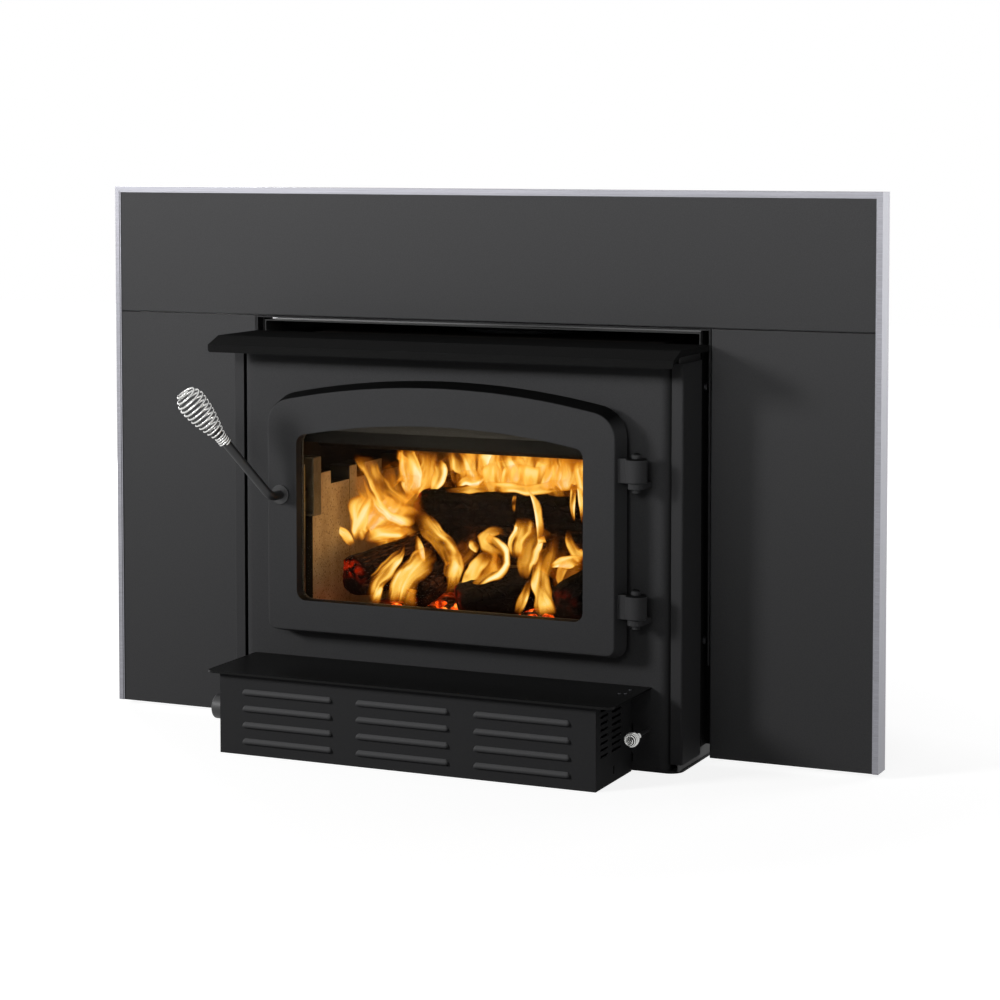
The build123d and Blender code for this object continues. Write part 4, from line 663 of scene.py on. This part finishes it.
def split_log(name, near, far, radius, sides=5, char=0.3, glow=0.0, seed=1):
    """A split of firewood between two points in millimetres: a blunt many-sided section with ragged bark."""
    near, far = Vector(near) * MM, Vector(far) * MM
    axis = (far - near).normalized()
    side = axis.cross(Vector((0, 0, 1))).normalized()
    up = side.cross(axis)
    rings, spokes = 56, 64
    length = (far - near).length
    flatness, swelling, bark_depth, bend, end_taper = 0.65, 0.16, 0.05, 0.35, 0.28
    taper_rate, char_rate, glow_rate = 14, 7, 20
    bend_rate, swell_rate, ridges_per_metre, ridges_round = 1.7, 3.1, 60, 6
    end_roundness, end_char = 0.35, 0.5
    points, chars, glows, alongs, arounds = [], [], [], [], []
    for ring in range(rings + 1):
        t = ring / rings
        from_end = min(t, 1 - t)
        fullness = 1 - end_taper + end_taper * min(1.0, from_end * taper_rate) ** end_roundness
        bow = noise.noise(Vector((t * bend_rate, seed, 0))) * radius * MM * bend
        for spoke in range(spokes):
            turn = 2 * math.pi * spoke / spokes
            along_face = (turn + seed) % (2 * math.pi / sides) - math.pi / sides
            face = math.cos(math.pi / sides) / math.cos(along_face)
            swell = noise.noise(Vector((t * swell_rate, math.cos(turn), math.sin(turn) + seed * 7)))
            ridge = noise.noise(Vector((t * length * ridges_per_metre, turn * ridges_round, seed * 3.0)))
            uneven = 1 + swell * swelling + ridge * bark_depth
            reach = radius * MM * (1 - flatness + flatness * face) * uneven * fullness
            points.append(near + axis * length * t + side * (math.cos(turn) * reach + bow)
                          + up * math.sin(turn) * reach)
            chars.append(char + end_char * max(0.0, 1 - from_end * char_rate))
            upper_side = (0.5 + 0.5 * math.sin(turn)) ** 3
            glows.append(glow * (max(0.0, 1 - from_end * glow_rate) * upper_side))
            alongs.append(t * length)
            arounds.append(turn * radius * MM)
    faces = skin(rings, spokes, spokes)
    for first, centre in ((0, near), (rings * spokes, far)):
        points.append(centre)
        for values, value in ((chars, 1.0), (glows, 0.0), (alongs, 0.0), (arounds, 0.0)):
            values.append(value)
        hub = len(points) - 1
        for spoke in range(spokes):
            wedge = (first + (spoke + 1) % spokes, first + spoke, hub)
            faces.append(wedge if first == 0 else wedge[::-1])
    mesh_piece(name, points, faces, charred_wood,
               {"char": chars, "glow": glows, "along": alongs, "around": arounds})


split_log("log_front_left", (-168, -66, 212), (-85, 90, 243), 33, sides=4, char=0.05, glow=0.4, seed=1)
split_log("log_upper", (-128, 66, 292), (205, 84, 300), 33, sides=5, char=0.75, glow=0.6, seed=2)
split_log("log_under", (-105, 58, 252), (206, 62, 250), 30, sides=6, char=0.5, glow=0.15, seed=3)
split_log("log_back_stub", (-128, 108, 312), (-40, 140, 334), 20, sides=5, char=0.35, glow=0.1, seed=4)
split_log("log_middle", (-92, -48, 184), (-20, 60, 258), 22, sides=5, char=0.35, glow=0.5, seed=5)
split_log("log_front_right", (-14, -52, 184), (96, 20, 215), 30, sides=4, char=0.95, glow=0.2, seed=6)
split_log("log_right_end", (140, -62, 192), (186, 50, 232), 32, sides=6, char=0.55, glow=0.05, seed=7)


# Ash and embers: a low uneven bed of pale grey ash over the floor bricks, with flakes of about 6 mm.
# Heaps of broken coals lie on it, and glow orange in patches of 11 mm.

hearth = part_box("floor_bricks")[1].z

ash, tree, shader = start("wood_ash", {"Base Color": linear("#6E665E"), "Roughness": 0.98})
place = add(tree, "ShaderNodeTexCoord").outputs["Object"]
flakes = add(tree, "ShaderNodeTexNoise", {"Vector": place, "Scale": 1 / (6 * MM), "Detail": 8.0})
heat = add(tree, "ShaderNodeTexNoise", {"Vector": place, "Scale": 1 / (30 * MM), "Detail": 3.0})
tint = add(tree, "ShaderNodeValToRGB", {"Fac": flakes.outputs["Fac"]},
           [(0.35, "#1A1512"), (0.55, "#4A4039"), (0.75, "#A39A90")])
warm = add(tree, "ShaderNodeValToRGB", {"Fac": heat.outputs["Fac"]},
           [(0.5, "#000000"), (0.62, "#6A1402"), (0.72, "#F06010")])
feed(tree, shader, {
    "Base Color": tint.outputs["Color"], "Emission Color": warm.outputs["Color"], "Emission Strength": 1.0,
})

ash_low, ash_high = (-0.214, -0.070), (0.214, 0.240)
columns, rows = 90, 66
depth, lumpiness, thinnest, sloping_cells = 9, 7, 0.3, 10
lumps_per_metre, crumbs_per_metre, crumb_share = 45, 120, 0.5
points = []
for row in range(rows + 1):
    for column in range(columns + 1):
        x = ash_low[0] + (ash_high[0] - ash_low[0]) * column / columns
        y = ash_low[1] + (ash_high[1] - ash_low[1]) * row / rows
        rim = min(column, columns - column, row, rows - row) / sloping_cells
        lump = noise.noise(Vector((x, y, 0)) * lumps_per_metre)
        lump += crumb_share * noise.noise(Vector((x, y, 1)) * crumbs_per_metre)
        height = (depth + lumpiness * lump) * min(1.0, rim) if rim > 0 else thinnest
        points.append((x, y, hearth + max(thinnest, height) * MM))
mesh_piece("ash_bed", points, skin(rows, columns, columns + 1), ash)

# The coals are black, and glow from dull red to yellow where the air reaches them.
coals, tree, shader = start("glowing_coals", {
    "Base Color": linear("#1C0E08"), "Roughness": 0.9,
})
place = add(tree, "ShaderNodeTexCoord").outputs["Object"]
heat = add(tree, "ShaderNodeTexNoise", {"Vector": place, "Scale": 1 / (11 * MM), "Detail": 5.0})
warm = add(tree, "ShaderNodeValToRGB", {"Fac": heat.outputs["Fac"]},
           [(0.35, "#0A0302"), (0.48, "#8A1B04"), (0.6, "#F0560E"), (0.75, "#FFB84E")])
feed(tree, shader, {"Emission Color": warm.outputs["Color"], "Emission Strength": 1.6})

# Each heap: its middle, its spread, how many coals it has and how high they are piled, in millimetres.
heaps = [
    (-200, -58, 14, 12, 6), (-28, -60, 20, 12, 4), (158, -55, 18, 14, 8), (145, 0, 20, 8, 6),
    (60, -40, 40, 8, 0), (-90, -20, 50, 10, 0), (0, 40, 120, 22, 0),
]
draw = random.Random(11)
layers, spokes = 6, 9
smallest, largest, flattened, lowest, ash_depth = 6, 13, 0.75, 0.5, 6
core_share, broken_share, breaks_round, resting = 0.8, 0.45, 1.7, 0.7
points, faces = [], []
for centre_x, centre_y, spread, count, lift in heaps:
    for _ in range(count):
        x = centre_x + draw.uniform(-spread, spread)
        y = centre_y + draw.uniform(-spread * 0.5, spread * 0.8)
        size = draw.uniform(smallest, largest)
        raised = draw.uniform(0, lift)
        middle = size * resting + ash_depth + raised
        first = len(points)
        for layer in range(layers + 1):
            tilt = math.pi * layer / layers
            for spoke in range(spokes):
                turn = 2 * math.pi * spoke / spokes
                round_it = math.sin(tilt)
                way = Vector((round_it * math.cos(turn), round_it * math.sin(turn), math.cos(tilt)))
                broken = noise.noise(way * breaks_round + Vector((x, y, 0)))
                reach = size * (core_share + broken_share * broken)
                spot = way * reach
                level = max(lowest, middle + spot.z * flattened)
                points.append(((x + spot.x) * MM, (y + spot.y) * MM, hearth + level * MM))
        faces += skin(layers, spokes, spokes, first, flipped=True)
mesh_piece("ember_heap", points, faces, coals)


# The flames: thin sheets of burning gas, pale yellow where they are thick and orange where they thin out.
# Each is a ribbon along its own line, cupped towards the room, with streaks about 20 mm wide that run up it.

flame, tree, shader = start("flame", {
    "Base Color": linear("#000000"), "Roughness": 1.0, "Specular IOR Level": 0.0,
})
core = add(tree, "ShaderNodeAttribute", attribute_name="core")
run = add(tree, "ShaderNodeAttribute", attribute_name="run")
aside = add(tree, "ShaderNodeAttribute", attribute_name="aside")
unrolled = add(tree, "ShaderNodeCombineXYZ", {"X": run.outputs["Fac"], "Y": aside.outputs["Fac"]})
streak_length, streak_width = 80 * MM, 20 * MM
streaks = add(tree, "ShaderNodeMapping", {
    "Vector": unrolled.outputs[0], "Scale": (1 / streak_length, 1 / streak_width, 1.0),
})
swirl = add(tree, "ShaderNodeTexNoise", {"Vector": streaks.outputs[0], "Scale": 1.0, "Detail": 2.0,
                                         "Roughness": 0.4, "Distortion": 1.2})
thick = add(tree, "ShaderNodeMapRange", {"Value": swirl.outputs["Fac"], "From Min": 0.32, "From Max": 0.68,
                                         "To Min": 0.24, "To Max": 1.35})
body = add(tree, "ShaderNodeMath", {0: core.outputs["Fac"], 1: thick.outputs["Result"]}, operation="MULTIPLY")
colour = add(tree, "ShaderNodeValToRGB", {"Fac": body.outputs[0]},
             [(0.0, "#742804"), (0.18, "#CC690D"), (0.38, "#F2A02C"), (0.62, "#FFCC60"), (0.98, "#FFF2C4")])
clear = add(tree, "ShaderNodeMapRange", {"Value": body.outputs[0], "From Min": 0.02, "From Max": 0.72},
            interpolation_type="SMOOTHSTEP")
feed(tree, shader, {
    "Emission Color": colour.outputs["Color"], "Emission Strength": 1.15, "Alpha": clear.outputs["Result"],
})


def flame_sheet(name, depth, line, seed, heat=1.0, licks=False):
    """A flame at one depth behind the glass: its line is (x, z, half width) in millimetres, from root to tip.

    Its streaks run along the line, or with licks across it, as in a row of flames side by side.
    """
    steps_each, across = 10, 16
    steps = steps_each * (len(line) - 1)
    feather, cupping, wavering, raggedness = 1.45, 0.35, 8, 0.45
    root_rate, tip_rate, waver_rate, swell_rate = 5.0, 2.4, 0.03, 0.05
    middle_heat, edge_heat, edge_softness = 0.6, 1.1, 0.9
    hot_side = 0.3 if seed % 2 else -0.3
    points, cores, runs, asides = [], [], [], []
    run = 0.0
    for step in range(steps + 1):
        t = step / steps * (len(line) - 1)
        i = min(int(t), len(line) - 2)
        f = t - i
        before, here = line[max(i - 1, 0)], line[i]
        there, after = line[i + 1], line[min(i + 2, len(line) - 1)]
        # A smooth curve through the line's points.
        x, z, half = (
            0.5 * (2 * b + (c - a) * f + (2 * a - 5 * b + 4 * c - d) * f ** 2
                   + (3 * b - a - 3 * c + d) * f ** 3)
            for a, b, c, d in zip(before, here, there, after)
        )
        half *= feather
        way = Vector((there[0] - here[0], 0, there[1] - here[1])).normalized()
        side = Vector((way.z, 0, -way.x))
        run += (Vector(there[:2]) - Vector(here[:2])).length / steps_each
        waver = noise.noise(Vector((x, z, seed * 9)) * waver_rate) * wavering
        end = min(1.0, (1 - step / steps) * tip_rate, step / steps * root_rate + 0.1)
        for number in range(across + 1):
            s = 2 * number / across - 1
            cup = (1 - s * s) * half * cupping
            swell = 1 + raggedness * noise.noise(Vector((run * swell_rate, seed * 5.3, math.copysign(3, s))))
            spot = Vector((x, depth + waver - cup, z)) + side * s * half * swell
            points.append(spot * MM)
            # The gas is hottest a little inside its edges, and on one side more than on the other.
            profile = (1 - s * s) ** edge_softness * (middle_heat + edge_heat * s * s)
            cores.append(profile * (1 + hot_side * s) * end * heat)
            along, sideways = (run + seed * 91) * MM, s * half * MM
            runs.append(sideways if licks else along)
            asides.append(along if licks else sideways)
    faces = skin(steps, across, across + 1)
    mesh_piece(name, points, faces, flame, {"core": cores, "run": runs, "aside": asides})


flames = {
    "left_body": (12, [
        (-103, 294, 7), (-128, 299, 20), (-152, 318, 22), (-172, 341, 15), (-185, 358, 9), (-204, 371, 2)
    ]),
    "left_lobe": (4, [(-190, 252, 5), (-192, 271, 14), (-183, 293, 19), (-174, 311, 12), (-175, 323, 2)]),
    "left_fill": (20, [(-174, 253, 6), (-162, 273, 19), (-147, 293, 21), (-139, 310, 11), (-144, 323, 2)]),
    "left_wisp": (2, [(-199, 246, 4), (-211, 260, 6), (-228, 269, 3), (-246, 272, 1)]),
    "left_root": (-2, [(-112, 271, 2), (-136, 269, 8), (-160, 264, 9), (-181, 256, 5)]),
    "column_first": (74, [(-151, 308, 2), (-141, 331, 12), (-146, 351, 11), (-151, 369, 10), (-151, 378, 9)]),
    "column_second": (80, [(-139, 310, 4), (-128, 333, 13), (-123, 356, 14), (-125, 375, 13)]),
    "column_third": (70, [(-111, 317, 2), (-100, 339, 9), (-100, 354, 7), (-102, 365, 1)]),
    "top_first": (84, [(-66, 340, 3), (-70, 354, 14), (-76, 368, 18), (-80, 382, 15)]),
    "top_second": (78, [(-34, 336, 5), (-42, 352, 17), (-48, 368, 20), (-52, 382, 16)]),
    "top_third": (84, [(-14, 322, 4), (-18, 342, 13), (-24, 362, 18), (-25, 382, 17)]),
    "top_fourth": (76, [(12, 330, 9), (7, 348, 16), (2, 366, 20), (0, 382, 16)]),
    "top_fifth": (84, [(30, 326, 6), (24, 344, 15), (30, 364, 20), (36, 382, 17)]),
    "top_sixth": (78, [(54, 326, 5), (60, 344, 15), (66, 362, 19), (70, 382, 17)]),
    "top_seventh": (84, [(88, 326, 6), (84, 342, 15), (90, 360, 19), (96, 382, 17)]),
    "top_eighth": (76, [(114, 322, 9), (107, 342, 15), (104, 362, 18), (108, 382, 16)]),
    "band": (58, [
        (-86, 321, 2), (-56, 324, 4), (-20, 331, 5), (13, 331, 6), (42, 330, 6), (72, 334, 6), (101, 340, 6),
        (130, 348, 5)
    ]),
    "band_upper": (66, [(-74, 327, 1), (-59, 336, 5), (-43, 337, 7), (-31, 342, 4), (-28, 348, 1)]),
    "wisp_first": (38, [(29, 324, 2), (28, 311, 2), (28, 300, 1)]),
    "wisp_second": (-10, [(70, 340, 1), (82, 318, 4), (87, 289, 4), (84, 260, 2)]),
    "wisp_third": (38, [(115, 340, 3), (113, 316, 3), (115, 292, 1)]),
    "wisp_fourth": (38, [(124, 341, 3), (124, 320, 3), (127, 290, 1)]),
    "middle_tall": (-22, [(61, 247, 6), (61, 271, 11), (67, 290, 12), (64, 305, 5)]),
    "middle_hook": (-26, [
        (71, 222, 4), (72, 246, 10), (79, 267, 11), (90, 281, 9), (103, 283, 7), (107, 275, 2)
    ]),
    "front_tall": (-60, [(117, 181, 10), (113, 204, 12), (110, 230, 9), (107, 250, 7), (102, 267, 2)]),
    "front_thin": (-62, [(76, 181, 3), (84, 202, 5), (93, 220, 4), (100, 235, 2)]),
    "right_tongue": (-24, [(155, 252, 5), (144, 261, 7), (136, 278, 5), (134, 294, 1)]),
    "right_band": (-40, [(114, 243, 2), (132, 250, 6), (149, 254, 6), (166, 253, 6)]),
    "right_foot": (-44, [(128, 218, 1), (129, 231, 4), (137, 245, 5), (148, 253, 3)]),
    "centre_sweep": (-30, [
        (-41, 194, 2), (-32, 218, 8), (-30, 240, 10), (-43, 260, 11), (-61, 276, 12), (-76, 292, 9),
        (-84, 306, 4)
    ]),
    "centre_left": (-34, [(-22, 199, 2), (-4, 222, 8), (14, 244, 8), (24, 259, 2)]),
    "centre_hook": (-38, [
        (-6, 198, 3), (14, 218, 6), (36, 237, 10), (46, 251, 12), (34, 264, 11), (20, 273, 8), (24, 283, 6),
        (40, 286, 5), (50, 280, 1)
    ]),
    "centre_small": (-36, [(11, 258, 4), (2, 265, 5), (-3, 272, 1)]),
    "front_first": (-62, [(-144, 183, 12), (-129, 210, 9), (-108, 235, 8), (-93, 252, 5), (-89, 265, 1)]),
    "front_second": (-58, [(-98, 182, 16), (-92, 209, 15), (-73, 231, 13), (-55, 248, 12), (-44, 255, 4)]),
    "front_third": (-44, [(-73, 236, 5), (-76, 251, 6), (-79, 264, 4), (-83, 275, 1)]),
}
for number, (name, (depth, line)) in enumerate(flames.items()):
    flame_sheet("flame_" + name, depth, line, number)

# Between them the gas burns in wide, fainter veils, and in two long rows of licks over the upper log.
# Each veil: its depth, its line, its heat, and whether it is a row of licks.
veils = {
    "left": (32, [
        (-104, 284, 14), (-136, 294, 36), (-162, 316, 42), (-182, 342, 28), (-196, 368, 10)
    ], 0.62, False),
    "left_low": (16, [(-188, 250, 8), (-176, 268, 26), (-160, 288, 34), (-150, 308, 20)], 0.6, False),
    "middle": (92, [(-150, 300, 12), (-138, 324, 28), (-126, 350, 36), (-122, 378, 32)], 0.7, False),
    "row": (96, [(-96, 352, 20), (-40, 352, 22), (20, 351, 23), (80, 351, 23), (150, 350, 22)], 0.8, True),
    "row_low": (70, [
        (-84, 334, 8), (-20, 338, 14), (40, 340, 16), (100, 342, 18), (140, 344, 16)
    ], 0.7, True),
    "front": (4, [(-40, 196, 10), (-20, 226, 30), (-6, 254, 26), (0, 284, 8)], 0.5, False),
    "right": (6, [(96, 196, 12), (104, 226, 28), (112, 256, 26), (116, 288, 10)], 0.45, False),
}
for number, (name, (depth, line, heat, licks)) in enumerate(veils.items()):
    flame_sheet("flame_veil_" + name, depth, line, 50 + number, heat, licks)


# The light of the fire: two warm lamps, one low among the logs and one above them, which light the bricks.
# Nothing sees the lamps themselves, only what they light.

def glow_lamp(name, place, power, colour, radius):
    """A round lamp at a place in millimetres, that no ray sees."""
    data = bpy.data.lights.new(name, "POINT")
    data.energy = power
    data.color = linear(colour)[:3]
    data.shadow_soft_size = radius
    made = bpy.data.objects.new(name, data)
    made.location = Vector(place) * MM
    made.visible_camera = made.visible_glossy = made.visible_transmission = False
    bpy.context.scene.collection.objects.link(made)


glow_lamp("fire_upper", (-40, 10, 335), 0.4, "#FFD2A0", 0.05)
glow_lamp("fire_lower", (20, -45, 255), 0.75, "#FFC48C", 0.04)
